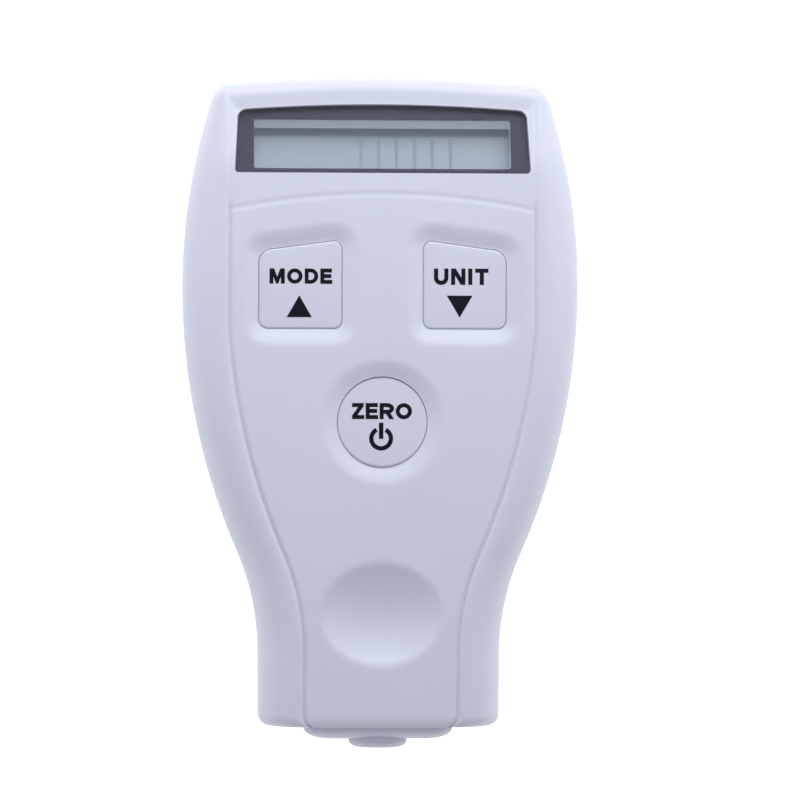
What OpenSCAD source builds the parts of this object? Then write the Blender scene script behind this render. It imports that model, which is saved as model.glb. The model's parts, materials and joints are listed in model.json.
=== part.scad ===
// Handheld coating thickness gauge: a moulded housing of two halves with a sloped display,
// three keys, a sprung probe at the narrow end and a battery bay behind a swing-out door.
// It lies on its back in millimetres: +Z leaves the face and +Y runs to the display end.

/* [Housing] */
// Width across the widest part of the grip
body_w = 70; // [67:0.5:75]
// Length of the housing without the probe
body_l = 114.5; // [112:0.5:122]
// Greatest thickness from back to face
body_t = 29.5; // [28.5:0.25:33]
// Width of the neck at the probe end
neck_w = 42.8; // [41.5:0.1:46]
// Distance from the display end to the widest point
wide_from_top = 36.5; // [34:0.5:40]
// Radius of the sides above the widest point
shoulder_r = 120; // [110:1:140]
// Radius of the sides below the widest point
hip_r = 118; // [110:1:126]
// Radius of the hollow sides that run into the neck
waist_r = 45; // [35:1:55]
// Radius of the arched display end
top_arch_r = 300; // [240:10:500]
// Rounding of the edge at the display end
top_round = 2.75; // [2.25:0.25:4]
// Rounding of the edge at the probe end
bottom_round = 2; // [1.5:0.25:2.75]
// Rounding of the edge round the back
back_r = 9; // [7:0.5:10]
// Lift of the back at the probe end
back_lift = 3; // [2:0.25:4]
// Wall of both housing halves
wall = 2.2; // [1.9:0.1:2.5]
// Height of the joint between the two halves, and of the probe axis
part_z = 13; // [12.5:0.25:14]

/* [Face] */
// Radius of the long curve of the face
face_r = 600; // [500:20:800]
// Distance from the display end to the crown of that curve
crown_from_top = 37; // [34:0.5:42]
// Distance from the display end to the bend under the display
bend_from_top = 15.5; // [14.5:0.25:16.5]
// Slope of the face at the display end, in degrees
facet_tilt = 12; // [10:0.5:14]
// Width of the rounded flanks beside the face panel
flank_w = 7.9; // [7:0.1:9]
// Height over which a flank rounds over to the side
flank_h = 9; // [8:0.25:10]
// Greatest width of the face panel
panel_w = 53.6; // [52.5:0.1:55]
// Width of the grooves that frame the face panel
groove_w = 1.4; // [1:0.1:2]
// Depth of those grooves
groove_d = 0.5; // [0.3:0.05:0.7]
// Distance from the display end to the arched groove above the keys
arch_from_top = 20.9; // [20.2:0.1:22]
// Radius of the arched groove
arch_r = 128; // [115:1:150]
// Diameter of the thumb hollow
thumb_d = 20; // [18:0.5:22]
// Depth of the thumb hollow
thumb_depth = 2.2; // [1.6:0.1:2.5]
// Distance from the display end to the middle of the thumb hollow
thumb_from_top = 94.6; // [93:0.2:97]

/* [Display] */
// Housing left beside the window lens
lens_margin = 8.7; // [8.3:0.1:9.5]
// Height of the window lens
lens_h = 12.9; // [12.4:0.1:13.2]
// Thickness of the window lens
lens_t = 1.2; // [1:0.1:1.5]
// Slope of the window lens, in degrees
lens_tilt = 15; // [13:0.5:17]
// Distance from the display end to the middle of the lens
lens_from_top = 10.7; // [10.4:0.1:11]
// Depth of the lens below the face at its middle
lens_sink = 0.6; // [0.5:0.05:0.8]
// Dark border of the lens beside the viewing opening
view_border = 3.35; // [3.1:0.05:4.8]
// Height of the viewing opening
view_h = 9; // [8:0.1:9.2]
// Depth from the lens to the display glass
view_depth = 5; // [4.5:0.1:5.5]
// Thickness of each plate of the display glass
glass_t = 1.2; // [1:0.1:1.4]

/* [Keys] */
// Width of the two upper keys
key_w = 14.6; // [13.6:0.1:15.4]
// Length of the two upper keys on their taller side
key_l = 15.6; // [14.6:0.1:16.2]
// Distance between the middles of the upper keys
key_pitch = 28.8; // [27.5:0.1:29.4]
// Distance from the display end to the middle of the upper keys
key_from_top = 36.4; // [35.8:0.1:37.2]
// Diameter of the round key
zero_d = 16; // [14.5:0.1:17]
// Distance from the display end to the middle of the round key
zero_from_top = 60.8; // [60:0.1:62.5]
// Gap between a key and its opening
key_gap = 0.2; // [0.15:0.05:0.3]
// Travel of a key
key_travel = 0.5; // [0.3:0.05:0.7]
// Depth of the dish round a key
dish_d = 1; // [0.7:0.05:1.2]
// Width of the sloping wall of that dish
dish_run = 3.6; // [3:0.1:4]

/* [Probe] */
// Diameter of the probe tip
tip_d = 10.3; // [9.6:0.1:11]
// Length by which the tip stands out of its collar
tip_proud = 1.6; // [1.4:0.1:1.9]
// Length by which the collar stands out of the housing
collar_proud = 2.4; // [2:0.1:3]
// Width of the collar
collar_w = 26.4; // [25:0.2:27.2]
// Depth of the collar, front to back
collar_h = 13.6; // [13:0.1:14]
// Running clearance of the probe in its collar
probe_gap = 0.15; // [0.1:0.05:0.25]

/* [Power] */
// Diameter of a battery cell
cell_d = 10.5; // [10.1:0.1:10.7]
// Length of a battery cell with its stud
cell_l = 44.5; // [43.5:0.1:45]
// Distance from the display end to the battery bay
bay_from_top = 23.4; // [23:0.1:24.5]
// Room for the contacts at each end of a cell
contact_room = 3.8; // [3.4:0.1:4.2]
// Thickness of the battery door
door_t = 1.8; // [1.5:0.1:2]
// Gap round the battery door
door_gap = 0.25; // [0.2:0.05:0.35]

/* [Electronics] */
// Thickness of the circuit boards
board_t = 1.6; // [1.2:0.1:1.8]
// Depth of the main board's upper face below the crown of the face
board_drop = 10.7; // [10.3:0.1:11]
// Side of a switch body
switch_w = 6; // [5.5:0.1:6.5]
// Height of a switch body
switch_h = 3.5; // [3:0.1:4]

/* [Hidden] */
$fn = 20;

// Places along the gauge
total_l = body_l + collar_proud + tip_proud;
y_top = total_l / 2;
y_bot = y_top - body_l;
y_collar = y_bot - collar_proud;
y_tip = y_collar - tip_proud;
y_wide = y_top - wide_from_top;
y_crown = y_top - crown_from_top;
y_bend = y_top - bend_from_top;
y_arch = y_top - arch_from_top;
y_key = y_top - key_from_top;
y_zero = y_top - zero_from_top;
y_thumb = y_top - thumb_from_top;
y_lens = y_top - lens_from_top;
y_bay = y_top - bay_from_top;
y_bay_low = y_bay - cell_l - 2 * contact_room;

// The sides are three arcs that run into one another
neck_run = sqrt(pow(hip_r + waist_r, 2) - pow(neck_w / 2 + waist_r - body_w / 2 + hip_r, 2));
y_neck = y_wide - neck_run;
y_turn = y_wide - neck_run * hip_r / (hip_r + waist_r);

// The back stays flat from the door's hooks upwards
hook_reach = 1.8;
door_margin = 3;
y_door_low = y_bay_low - door_margin;
y_lift = y_door_low - hook_reach - wall;

// Softness of the bend under the display, and where the panel grooves begin
bend_soft = 2.5;
groove_fade = 4;
y_groove = y_arch - arch_r + sqrt(pow(arch_r, 2) - pow(panel_w / 2, 2));

big = 200;
sliver = 0.01;
seat_gap = 0.15;

// Steps along the curves of the housing
back_steps = 5;
flank_steps = 6;
cavity_back_steps = 3;
cavity_flank_steps = 4;
end_steps = 4;
ring_pitch = 4.3;
cavity_pitch = 9;

shell_colour = [0.83, 0.84, 0.91];
key_colour = [0.82, 0.83, 0.9];
dark_colour = [0.2, 0.2, 0.25];
steel_colour = [0.7, 0.71, 0.73];
board_colour = [0.1, 0.4, 0.2];

function smooth(t) = let (s = min(max(t, 0), 1)) s * s * (3 - 2 * s);
function mean(points) = [for (i = [0:len(points[0]) - 1]) sum([for (p = points) p[i]]) / len(points)];
function sum(v) = v * [for (x = v) 1];
function unit(v) = v / norm(v);

// Half the width of the housing at y
function half_w(y) =
    y >= y_wide ? body_w / 2 - shoulder_r + sqrt(pow(shoulder_r, 2) - pow(y - y_wide, 2))
    : y >= y_turn ? body_w / 2 - hip_r + sqrt(pow(hip_r, 2) - pow(y - y_wide, 2))
    : y >= y_neck ? neck_w / 2 + waist_r - sqrt(pow(waist_r, 2) - pow(y - y_neck, 2))
    : neck_w / 2;

// Height of the face at y: a long curve that bends down towards the display end
function bend(d) = d <= -bend_soft ? 0 : d >= bend_soft ? d : pow(d + bend_soft, 2) / (4 * bend_soft);
function crown_z(y) = body_t - pow(y - y_crown, 2) / (2 * face_r);
function face_z(y) = let (over = bend(y - y_bend)) crown_z(y - over) - over * tan(facet_tilt);
function face_slope(y) = atan((y - y_crown) / face_r);

// Height of the back at y
function back_z(y) = y >= y_lift ? 0 : back_lift * pow((y_lift - y) / (y_lift - y_bot), 2);

// The display end is arched, so points beside the middle sit a little lower along y
function arched(x, y) = y - smooth((y - y_wide) / (y_top - y_wide))
    * (top_arch_r - sqrt(pow(top_arch_r, 2) - x * x));

// Width of the flank at y: it narrows towards the display end, where the panel runs straight on
least_flank = 2.5;
function flank_at(y) = y < y_wide ? flank_w : max(least_flank, min(flank_w, half_w(y) - panel_w / 2));

// One ring of the housing, drawn in by inset, with a groove of that depth beside the panel
function housing_ring(y, inset, groove, low_steps, high_steps) =
    let (w = half_w(y) - inset,
         height = face_z(y) - back_z(y) - 2 * inset,
         low_r = min(back_r, 0.48 * height),
         high_r = min(flank_h, 0.48 * height),
         flank = flank_at(y),
         panel = min(w - flank, panel_w / 2 - inset),
         side_r = flank - groove_w / 2,
         depth = groove * smooth((y_groove + groove_fade - y) / groove_fade),
         profile = [
             for (part = [1 / 3, 2 / 3]) [(w - low_r) * part, 0, 0],
             for (i = [0:low_steps]) let (a = 90 * i / low_steps)
                 [w - low_r + low_r * sin(a), 0, low_r * (1 - cos(a))],
             for (i = [0:high_steps]) let (a = 90 * i / high_steps)
                 [w - side_r + side_r * cos(a), 1, high_r * (sin(a) - 1)],
             [panel, 1, -depth],
             for (part = [1, 2 / 3, 1 / 3]) [(panel - groove_w / 2) * part, 1, 0]],
         right = [for (p = profile) let (yy = arched(p[0], y))
             [p[0], yy, (p[1] == 0 ? back_z(yy) + inset : face_z(yy) - inset) + p[2]]])
    concat(right, [for (i = [len(right) - 1:-1:0]) [-right[i][0], right[i][1], right[i][2]]]);

// Stations of the rings between two rounded ends, as distance along y and draw-in
function stations(inset, pitch) =
    let (low_r = max(bottom_round - inset, 0.3),
         high_r = max(top_round - inset, 0.3),
         first = y_bot + inset + low_r,
         last = y_top - inset - high_r,
         count = ceil((last - first) / pitch))
    concat([for (i = [0:end_steps - 1]) let (a = 90 * i / end_steps)
                [first - low_r * cos(a), low_r * (1 - sin(a))]],
           [for (i = [0:count]) [first + (last - first) * i / count, 0]],
           [for (i = [end_steps - 1:-1:0]) let (a = 90 * i / end_steps)
                [last + high_r * cos(a), high_r * (1 - sin(a))]]);

// Closed solid through rings of equal point count, each end a fan round its middle
module skin(rings, last_middle) {
    n = len(rings[0]);
    m = len(rings);
    points = [for (ring = rings) each ring, mean(rings[0]),
        is_undef(last_middle) ? mean(rings[m - 1]) : last_middle];
    sides = [for (i = [0:m - 2], j = [0:n - 1]) let (k = (j + 1) % n)
        each [[i * n + j, i * n + k, (i + 1) * n + k], [i * n + j, (i + 1) * n + k, (i + 1) * n + j]]];
    ends = [for (j = [0:n - 1]) let (k = (j + 1) % n)
        each [[m * n, k, j], [m * n + 1, (m - 1) * n + j, (m - 1) * n + k]]];
    polyhedron(points, concat(sides, ends));
}

// The housing as one solid, drawn in by inset
module housing_form(inset, groove, pitch, low_steps, high_steps) {
    rings = [for (s = stations(inset, pitch)) housing_ring(s[0], inset + s[1], groove, low_steps, high_steps)];
    last_ring = rings[len(rings) - 1];
    skin(rings, [0, y_top - inset, mean(last_ring)[2]]);
}
module outer_form(groove) housing_form(0, groove, ring_pitch, back_steps, flank_steps);
module cavity_form(inset) housing_form(inset, 0, cavity_pitch, cavity_back_steps, cavity_flank_steps);

// Rounded corner between two edges, and an outline with each corner rounded by its radius
function corner(before, at, after, r, n) =
    let (a = unit(before - at), b = unit(after - at), half = acos(a * b) / 2,
         middle = at + unit(a + b) * r / sin(half),
         first = at + a * r / tan(half) - middle,
         turn = sign(cross(a, b)) * -(180 - 2 * half),
         from = atan2(first[1], first[0]))
    [for (i = [0:n]) middle + r * [cos(from + turn * i / n), sin(from + turn * i / n)]];
function rounded(points, radii, n = 6) =
    let (c = len(points))
    [for (i = [0:c - 1]) each corner(points[(i + c - 1) % c], points[i], points[(i + 1) % c], radii[i], n)];
function box_outline(w, h, r, n = 6) =
    rounded([[-w / 2, -h / 2], [w / 2, -h / 2], [w / 2, h / 2], [-w / 2, h / 2]], [r, r, r, r], n);

// Round bar swept along a path, with the given number of sides
function path_dir(path, i) = unit(path[min(i + 1, len(path) - 1)] - path[max(i - 1, 0)]);
function path_ring(at, dir, r, sides) =
    let (u = unit(cross(dir, abs(dir[0]) < 0.9 ? [1, 0, 0] : [0, 0, 1])), v = cross(dir, u))
    [for (i = [0:sides - 1]) let (a = 360 * i / sides) at + r * (cos(a) * u - sin(a) * v)];
module bar(path, r, sides = 6) {
    skin([for (i = [0:len(path) - 1]) path_ring(path[i], path_dir(path, i), r, sides)]);
}

// Coil spring along z with closed ends, from wire of the given radius
function coil_path(length, r_low, r_high, turns, wire_r, steps) =
    let (count = turns * steps)
    [for (i = [0:count]) let (t = i / count, r = r_low + (r_high - r_low) * t)
        [r * cos(360 * i / steps), r * sin(360 * i / steps), wire_r + (length - 2 * wire_r) * t]];
module coil_spring(length, r_low, r_high, turns, wire_r, steps = 8) {
    bar(coil_path(length, r_low, r_high, turns, wire_r, steps), wire_r);
}

// Pan-head screw pointing up z from the underside of its head
module screw(length, shank_r, head_r, head_h) {
    socket_r = 0.55 * head_r;
    difference() {
        union() {
            cylinder(h = length, r = shank_r);
            translate([0, 0, -head_h]) cylinder(h = head_h, r = head_r);
        }
        for (a = [0, 90]) rotate([0, 0, a])
            translate([-socket_r, -socket_r / 5, -head_h - 1]) cube([2 * socket_r, 0.4 * socket_r, 1 + head_h / 2]);
    }
}

// Frames of the display and of the probe, the second with z along the probe into the housing
module at_display() {
    translate([0, y_lens, face_z(y_lens) - lens_sink]) rotate([-lens_tilt, 0, 0]) children();
}
module at_face(y) {
    translate([0, y, face_z(y)]) rotate([-face_slope(y), 0, 0]) children();
}
module at_probe(depth = 0) {
    translate([0, y_tip + depth, part_z]) rotate([-90, 0, 0]) children();
}
module both_sides() {
    children();
    mirror([1, 0, 0]) children();
}

// Outlines of the display parts
lens_w = body_w - 2 * lens_margin;
view_w = lens_w - 2 * view_border;
lens_arch = 1.4;
lens_arch_r = 400;
ledge_under = 1.3;
ledge_side = 1.55;
view_drop = 1.1;
function lens_outline(grow) =
    rounded([[-lens_w / 2 - grow, -lens_h / 2 - grow], [lens_w / 2 + grow, -lens_h / 2 - grow],
             [lens_w / 2 - 1 + grow, lens_h / 2 - lens_arch + grow], [0, lens_h / 2 + grow],
             [-lens_w / 2 + 1 - grow, lens_h / 2 - lens_arch + grow]],
            [0.6 + grow, 0.6 + grow, 1.6 + grow, lens_arch_r, 1.6 + grow]);
glass_w = view_w + 2.6;
glass_h = view_h + 3.4;
frame_wall = 0.9;
glass_gap = 0.1;
board_z = -view_depth - 2 * glass_t - 0.8;
display_post_x = glass_w / 2 + frame_wall + 2.1;
display_board_t = 1.2;
display_board_low = -view_drop - glass_h / 2 - frame_wall - 0.6;
display_board_high = -view_drop + glass_h / 2 + frame_wall + 0.4;

// Outlines of the keys: the upper ones are lower on their outer side
key_slant = 2;
function upper_key_outline(grow) =
    rounded([[-key_w / 2 - grow, -key_l / 2 - grow], [key_w / 2 + grow, -key_l / 2 - grow],
             [key_w / 2 + grow, key_l / 2 + grow], [-key_w / 2 - grow, key_l / 2 - key_slant + grow]],
            [1.6 + grow, 1.4 + grow, 1.5 + grow, 2.4 + grow]);
function round_key_outline(grow) = [for (i = [0:35]) (zero_d / 2 + grow) * [cos(10 * i), sin(10 * i)]];

// Heights of the keys: cap below the face, flat guide inside the housing, flange under the guide
cap_sink = 0.2;
guide_h = 0.8;
guide_t = 1.3;
flange_t = 1;
flange_reach = 1;
stem_r = 2;
board_top = body_t - board_drop;
plunger_r = 1.7;
plunger_h = 1.5;
plunger_top = board_top + switch_h + plunger_h;
function guide_z(y) = face_z(y) - wall - guide_h;

// Probe measures along its axis, from the tip inwards
nose_l = 14;
sleeve_flange_t = 1.2;
sleeve_flange_r = tip_d / 2 + 1.2;
sleeve_r = tip_d / 2 - 1.1;
sleeve_front = 1.2;
spring_l = 8.8;
cap_t = 2;
collar_flange_t = 2;
collar_r = 5;
barrel_r = sleeve_flange_r + probe_gap + 0.9;
bore_step = nose_l - seat_gap;
cap_depth = nose_l + sleeve_flange_t + spring_l;
barrel_end = cap_depth + cap_t;
core_r = 1.5;
bobbin_r = sleeve_r - 0.1;
bobbin_l = 9;
bobbin_flange = 0.8;

// The main board ends clear of the probe
board_clear = 2.7;
board_low = y_tip + barrel_end + board_clear;

// Places of the screws
shell_screw_high = [body_w / 2 - 6.3, y_wide + 7.5];
shell_screw_low = [neck_w / 2 - 5, y_bot + 11.5];
shell_boss_r = 2.7;
board_screw_high = [18.5, y_zero + 4.5];
board_screw_low = [12, board_low + 3.5];
post_r = 2.2;
module shell_screw_places() {
    both_sides() for (p = [shell_screw_high, shell_screw_low]) translate([p[0], p[1], 0]) children();
}
module board_screw_places() {
    both_sides() for (p = [board_screw_high, board_screw_low]) translate([p[0], p[1], 0]) children();
}
head_seat = 4.5;
shell_shank_r = 1.15;
shell_head_r = 2.1;
shell_head_h = 1.6;
shell_screw_l = part_z - head_seat + 6;
small_shank_r = 0.8;
small_head_r = 1.5;
small_head_h = 1;
small_screw_l = 5;
hole_gap = 0.05;

// Battery bay, seen from the back
cell_x = cell_d / 2 + 0.25;
cell_z = door_t + 0.4 + cell_d / 2;
bay_w = 4 * cell_x + 0.6;
bay_wall = 1.4;
bay_roof = cell_z + cell_d / 2 + 0.3;
ledge_z = door_t + 0.05;
ledge_t = 1.3;
door_w = bay_w + 2 * bay_wall + 3;
door_l = y_bay + door_margin - y_door_low;
door_middle = y_door_low + door_l / 2;
door_corner = 3;
hook_w = 4.5;
hook_x = door_w / 2 - 5;
hook_t = 1.1;
hook_z = wall + seat_gap;
hook_r = sqrt(pow(hook_reach, 2) + pow(hook_z, 2));
latch_w = 9;
latch_reach = 0.7;
contact_t = 0.4;
tail_w = 2.4;
cell_end = y_bay - contact_room;

module above_joint() translate([-big / 2, -big / 2, part_z]) cube(big);
module below_joint() translate([-big / 2, -big / 2, part_z - big]) cube(big);

// Collar section as a rounded block along z
module collar_block(grow, from, to) {
    hull() for (x = [-1, 1], y = [-1, 1])
        translate([x * (collar_w / 2 - collar_r), y * (collar_h / 2 - collar_r), from])
            cylinder(h = to - from, r = collar_r + grow);
}

// Key opening with a sloping dish round it
module key_cut(outline, reach) {
    hull() {
        translate([0, 0, -dish_d]) linear_extrude(sliver) polygon(outline(0.5));
        translate([0, 0, dish_d]) linear_extrude(sliver) polygon(outline(0.5 + 2 * dish_run));
    }
    hull() {
        translate([0, 0, -reach]) linear_extrude(sliver) polygon(outline(key_gap));
        translate([0, 0, reach]) linear_extrude(sliver) polygon(outline(key_gap));
    }
}
module key_guide(outline, y) {
    translate([0, y, guide_z(y)]) linear_extrude(wall + guide_h + 2) polygon(outline(key_gap + guide_t));
}
upper_outline = function (grow) upper_key_outline(grow);
round_outline = function (grow) round_key_outline(grow);

// Everything inside the front half that stands on its wall
module front_inside() {
    both_sides() translate([-key_pitch / 2, 0, 0]) key_guide(upper_outline, y_key);
    key_guide(round_outline, y_zero);
    shell_screw_places() translate([0, 0, part_z]) cylinder(h = body_t, r = shell_boss_r);
    board_screw_places() translate([0, 0, board_top]) cylinder(h = body_t, r = post_r);
    thumb_ball(wall);
    at_display() {
        translate([0, 0, -lens_t - ledge_under]) linear_extrude(12) polygon(lens_outline(ledge_side));
        translate([0, -view_drop, -view_depth + glass_gap])
            linear_extrude(view_depth) square([view_w + 2.2, view_h + 2.2], center = true);
        both_sides() translate([display_post_x, -view_drop, board_z]) cylinder(h = 12, r = post_r - 0.2);
    }
    intersection() {
        at_probe(collar_proud + tip_proud + wall) collar_block(5, 0, collar_flange_t + 2 * seat_gap + 1.5);
        above_joint();
    }
}
thumb_ball_r = (pow(thumb_d / 2, 2) + pow(thumb_depth, 2)) / (2 * thumb_depth);
module thumb_ball(grow) {
    at_face(y_thumb) translate([0, 0, thumb_ball_r - thumb_depth])
        scale([1.07, 1, 1]) sphere(r = thumb_ball_r + grow, $fn = grow > 0 ? 24 : 48);
}

// The probe collar's place in both halves
module collar_cut() {
    at_probe(0) {
        collar_block(seat_gap, -1, nose_l);
        translate([0, 0, collar_proud + tip_proud + wall])
            collar_block(1.2 + seat_gap, 0, collar_flange_t + 2 * seat_gap);
        cylinder(h = barrel_end + 1, r = barrel_r + seat_gap);
    }
}

module front_shell() {
    color(shell_colour) difference() {
        intersection() {
            outer_form(groove_d);
            above_joint();
            union() {
                difference() {
                    above_joint();
                    cavity_form(wall);
                }
                front_inside();
            }
        }
        // Window: a shallow pocket under the brow, the lens seat and the viewing opening
        at_display() {
            hull() {
                translate([0, 0, 0.25]) linear_extrude(sliver) polygon(lens_outline(0.3));
                translate([0, 1.5, 2]) linear_extrude(sliver) polygon(lens_outline(4));
            }
            translate([0, 0, -lens_t]) linear_extrude(5) polygon(lens_outline(seat_gap));
            translate([0, -view_drop, -12]) linear_extrude(14) square([view_w, view_h], center = true);
        }
        // Keys
        both_sides() translate([-key_pitch / 2, 0, 0]) at_face(y_key) key_cut(upper_outline, 8);
        at_face(y_zero) key_cut(round_outline, 8);
        // Thumb hollow and grooves
        thumb_ball(0);
        translate([0, y_arch - arch_r, face_z(y_arch) + groove_w / 2 - groove_d + 0.1])
            rotate([0, 0, 90 - asin(panel_w / 2 / arch_r)])
                rotate_extrude(angle = 2 * asin(panel_w / 2 / arch_r), $fn = 180)
                    translate([arch_r, 0]) circle(r = groove_w / 2 + 0.1, $fn = 8);
        hull() for (y = [y_arch - 0.5, y_zero + zero_d / 2 + dish_run])
            translate([0, y, face_z(y) + 1.85]) sphere(r = 2, $fn = 24);
        // Screws
        shell_screw_places() translate([0, 0, part_z - 1]) cylinder(h = 8.5, r = shell_shank_r + hole_gap, $fn = 24);
        board_screw_places() translate([0, 0, board_top - 1]) cylinder(h = 5.5, r = small_shank_r + hole_gap, $fn = 24);
        at_display() both_sides() translate([display_post_x, -view_drop, board_z - 1])
            cylinder(h = 5, r = small_shank_r + hole_gap, $fn = 24);
        collar_cut();
    }
}

module door_outline(grow) {
    translate([0, door_middle]) polygon(box_outline(door_w + 2 * grow, door_l + 2 * grow, door_corner + grow));
}

module rear_shell() {
    lip_t = 0.9;
    lip_h = 1.4;
    lip_gap = 0.1;
    color(shell_colour) difference() {
        union() {
            intersection() {
                outer_form(0);
                below_joint();
                union() {
                    difference() {
                        below_joint();
                        cavity_form(wall);
                    }
                    // Screw posts, wider at the foot
                    shell_screw_places() hull() {
                        cylinder(h = 2 * head_seat, r = shell_boss_r + 0.8);
                        cylinder(h = part_z, r = shell_boss_r);
                    }
                    // Rim round the battery door
                    linear_extrude(ledge_z + ledge_t) door_outline(2.5);
                    at_probe(collar_proud + tip_proud + wall)
                        collar_block(5, 0, collar_flange_t + 2 * seat_gap + 1.5);
                }
            }
            // Lip that locates the two halves, held clear of the bosses
            difference() {
                union() {
                    intersection() {
                        cavity_form(wall / 2);
                        translate([-big / 2, -big / 2, part_z - 2]) cube([big, big, 2]);
                    }
                    intersection() {
                        cavity_form(wall + lip_gap);
                        translate([-big / 2, -big / 2, part_z - 1]) cube([big, big, 1 + lip_h]);
                    }
                }
                cavity_form(wall + lip_gap + lip_t);
                shell_screw_places() cylinder(h = body_t, r = shell_boss_r + 0.3);
                translate([-big / 2, y_bot - 10, part_z]) cube([big, 10 + 3 * wall, body_t]);
            }
            // Battery bay box
            translate([-bay_w / 2 - bay_wall, y_bay_low - bay_wall, wall])
                cube([bay_w + 2 * bay_wall, y_bay - y_bay_low + 2 * bay_wall, bay_roof + bay_wall - wall]);
        }
        translate([-bay_w / 2, y_bay_low, -1]) cube([bay_w, y_bay - y_bay_low, bay_roof + 1]);
        translate([0, 0, -1]) linear_extrude(1 + ledge_z) door_outline(door_gap);
        // Ways for the door's hooks and latch
        both_sides() translate([hook_x - hook_w / 2 - 0.3, y_door_low, 0]) difference() {
            rotate([0, 90, 0]) cylinder(h = hook_w + 0.6, r = hook_r + hook_t + 0.3, $fn = 40);
            translate([-1, -big, -big]) cube([hook_w + 3, big, big + hook_z - 0.1]);
        }
        translate([-latch_w / 2 - 0.3, y_door_low + door_l - 2, 0]) cube([latch_w + 0.6, 2 + 0.6 * door_gap, 6]);
        translate([-latch_w / 2 - 0.3, y_door_low + door_l - 2, hook_z - 0.1])
            cube([latch_w + 0.6, 2 + latch_reach + 0.4, 6]);
        // Finger scoop beside the latch
        hull() for (x = [-4, 4]) translate([x, y_door_low + door_l + 1.5, -3]) sphere(r = 4, $fn = 24);
        // Slots for the contact tails
        for (x = [-cell_x, cell_x]) translate([x - tail_w / 2 - 0.2, y_bay - 2, bay_roof - 1])
            cube([tail_w + 0.4, 2 + 0.1, bay_wall + 2]);
        // Screws
        shell_screw_places() translate([0, 0, -1]) {
            cylinder(h = 1 + head_seat, r = shell_head_r + 0.25, $fn = 24);
            cylinder(h = 2 * part_z, r = shell_shank_r + 0.2, $fn = 24);
        }
        collar_cut();
    }
}

// Door: hooks at its low end, a sprung latch at its high end, ribs for the thumb
module battery_door() {
    color(shell_colour) union() {
        difference() {
            linear_extrude(door_t) door_outline(0);
            for (i = [0:4]) translate([-7, y_door_low + door_l - 6 - 2.2 * i, -0.5]) cube([14, 1, 1]);
        }
        both_sides() translate([hook_x - hook_w / 2, y_door_low, 0]) {
            intersection() {
                difference() {
                    rotate([0, 90, 0]) cylinder(h = hook_w, r = hook_r + hook_t, $fn = 40);
                    translate([-1, 0, 0]) rotate([0, 90, 0]) cylinder(h = hook_w + 2, r = hook_r, $fn = 40);
                }
                translate([0, -hook_reach, 0]) cube([hook_w, hook_reach + 1.4, 2 * hook_r]);
            }
            translate([0, 0.1, door_t - 0.2]) cube([hook_w, 1.3, hook_r + 0.4 - door_t + 0.2]);
        }
        translate([-latch_w / 2, y_door_low + door_l - 1.4, door_t - 0.2]) {
            cube([latch_w, 1.3, hook_z + hook_t - door_t + 0.2]);
            translate([0, 0.5, hook_z - door_t + 0.2]) cube([latch_w, 0.9 + latch_reach, hook_t]);
        }
    }
}

module window_lens() {
    color(dark_colour) at_display() translate([0, 0, -lens_t]) linear_extrude(lens_t) polygon(lens_outline(0));
}

// Key: a cap with a rounded upper edge, a flange under the housing and a stem to the switch
module key(outline, x, y) {
    flange_top = guide_z(y) - seat_gap;
    cap_top = face_z(y) - cap_sink;
    edge = 0.7;
    layers = [[cap_top, -1.6 * edge], [cap_top - 0.1 * edge, -0.6 * edge],
              [cap_top - 0.35 * edge, -0.25 * edge], [cap_top - edge, 0], [flange_top - flange_t / 2, 0]];
    color(key_colour) translate([x, y, 0]) union() {
        skin([for (l = layers) [for (p = outline(l[1])) [p[0], p[1], l[0]]]]);
        translate([0, 0, flange_top - flange_t]) linear_extrude(flange_t) polygon(outline(key_gap + flange_reach));
        translate([0, 0, plunger_top]) cylinder(h = flange_top - 0.2 - plunger_top, r = stem_r);
    }
}
module mode_key() key(upper_outline, -key_pitch / 2, y_key);
module unit_key() mirror([1, 0, 0]) mode_key();
module zero_key() key(round_outline, 0, y_zero);

// Display glass: two plates, the rear one shorter so the front one can meet the zebra strip
module display_glass() {
    color([0.6, 0.68, 0.66]) at_display() translate([0, -view_drop, -view_depth]) union() {
        translate([-glass_w / 2, -glass_h / 2, -glass_t]) cube([glass_w, glass_h, glass_t]);
        translate([-glass_w / 2, 2 - glass_h / 2, -2 * glass_t]) cube([glass_w, glass_h - 2, 1.5 * glass_t]);
    }
}
module display_frame() {
    color(dark_colour) at_display() translate([0, -view_drop, board_z]) linear_extrude(-view_depth - board_z - 0.4)
        difference() {
            square([glass_w + 2 * frame_wall, glass_h + 2 * frame_wall], center = true);
            square([glass_w + 2 * glass_gap, glass_h + 2 * glass_gap], center = true);
        }
}
module zebra_strip() {
    color([0.85, 0.6, 0.65]) at_display() translate([1 - glass_w / 2, 0.1 - view_drop - glass_h / 2, board_z])
        cube([glass_w - 2, 1.6, -view_depth - glass_t - board_z]);
}
module display_board() {
    board_w = glass_w + 2 * frame_wall + 0.8;
    ear_reach = display_post_x + small_head_r - 0.1;
    color(board_colour) at_display() translate([0, 0, board_z - display_board_t]) difference() {
        linear_extrude(display_board_t) union() {
            translate([-board_w / 2, display_board_low])
                square([board_w, display_board_high - display_board_low]);
            translate([-ear_reach, -view_drop - 2.5]) square([2 * ear_reach, 5]);
        }
        both_sides() translate([display_post_x, -view_drop, -1]) cylinder(h = 4, r = small_shank_r + 0.15, $fn = 24);
    }
}
module display_screws() {
    color(steel_colour) at_display() both_sides()
        translate([display_post_x, -view_drop, board_z - display_board_t])
            screw(display_board_t + 3.5, small_shank_r, small_head_r, small_head_h, $fn = 24);
}

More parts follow.
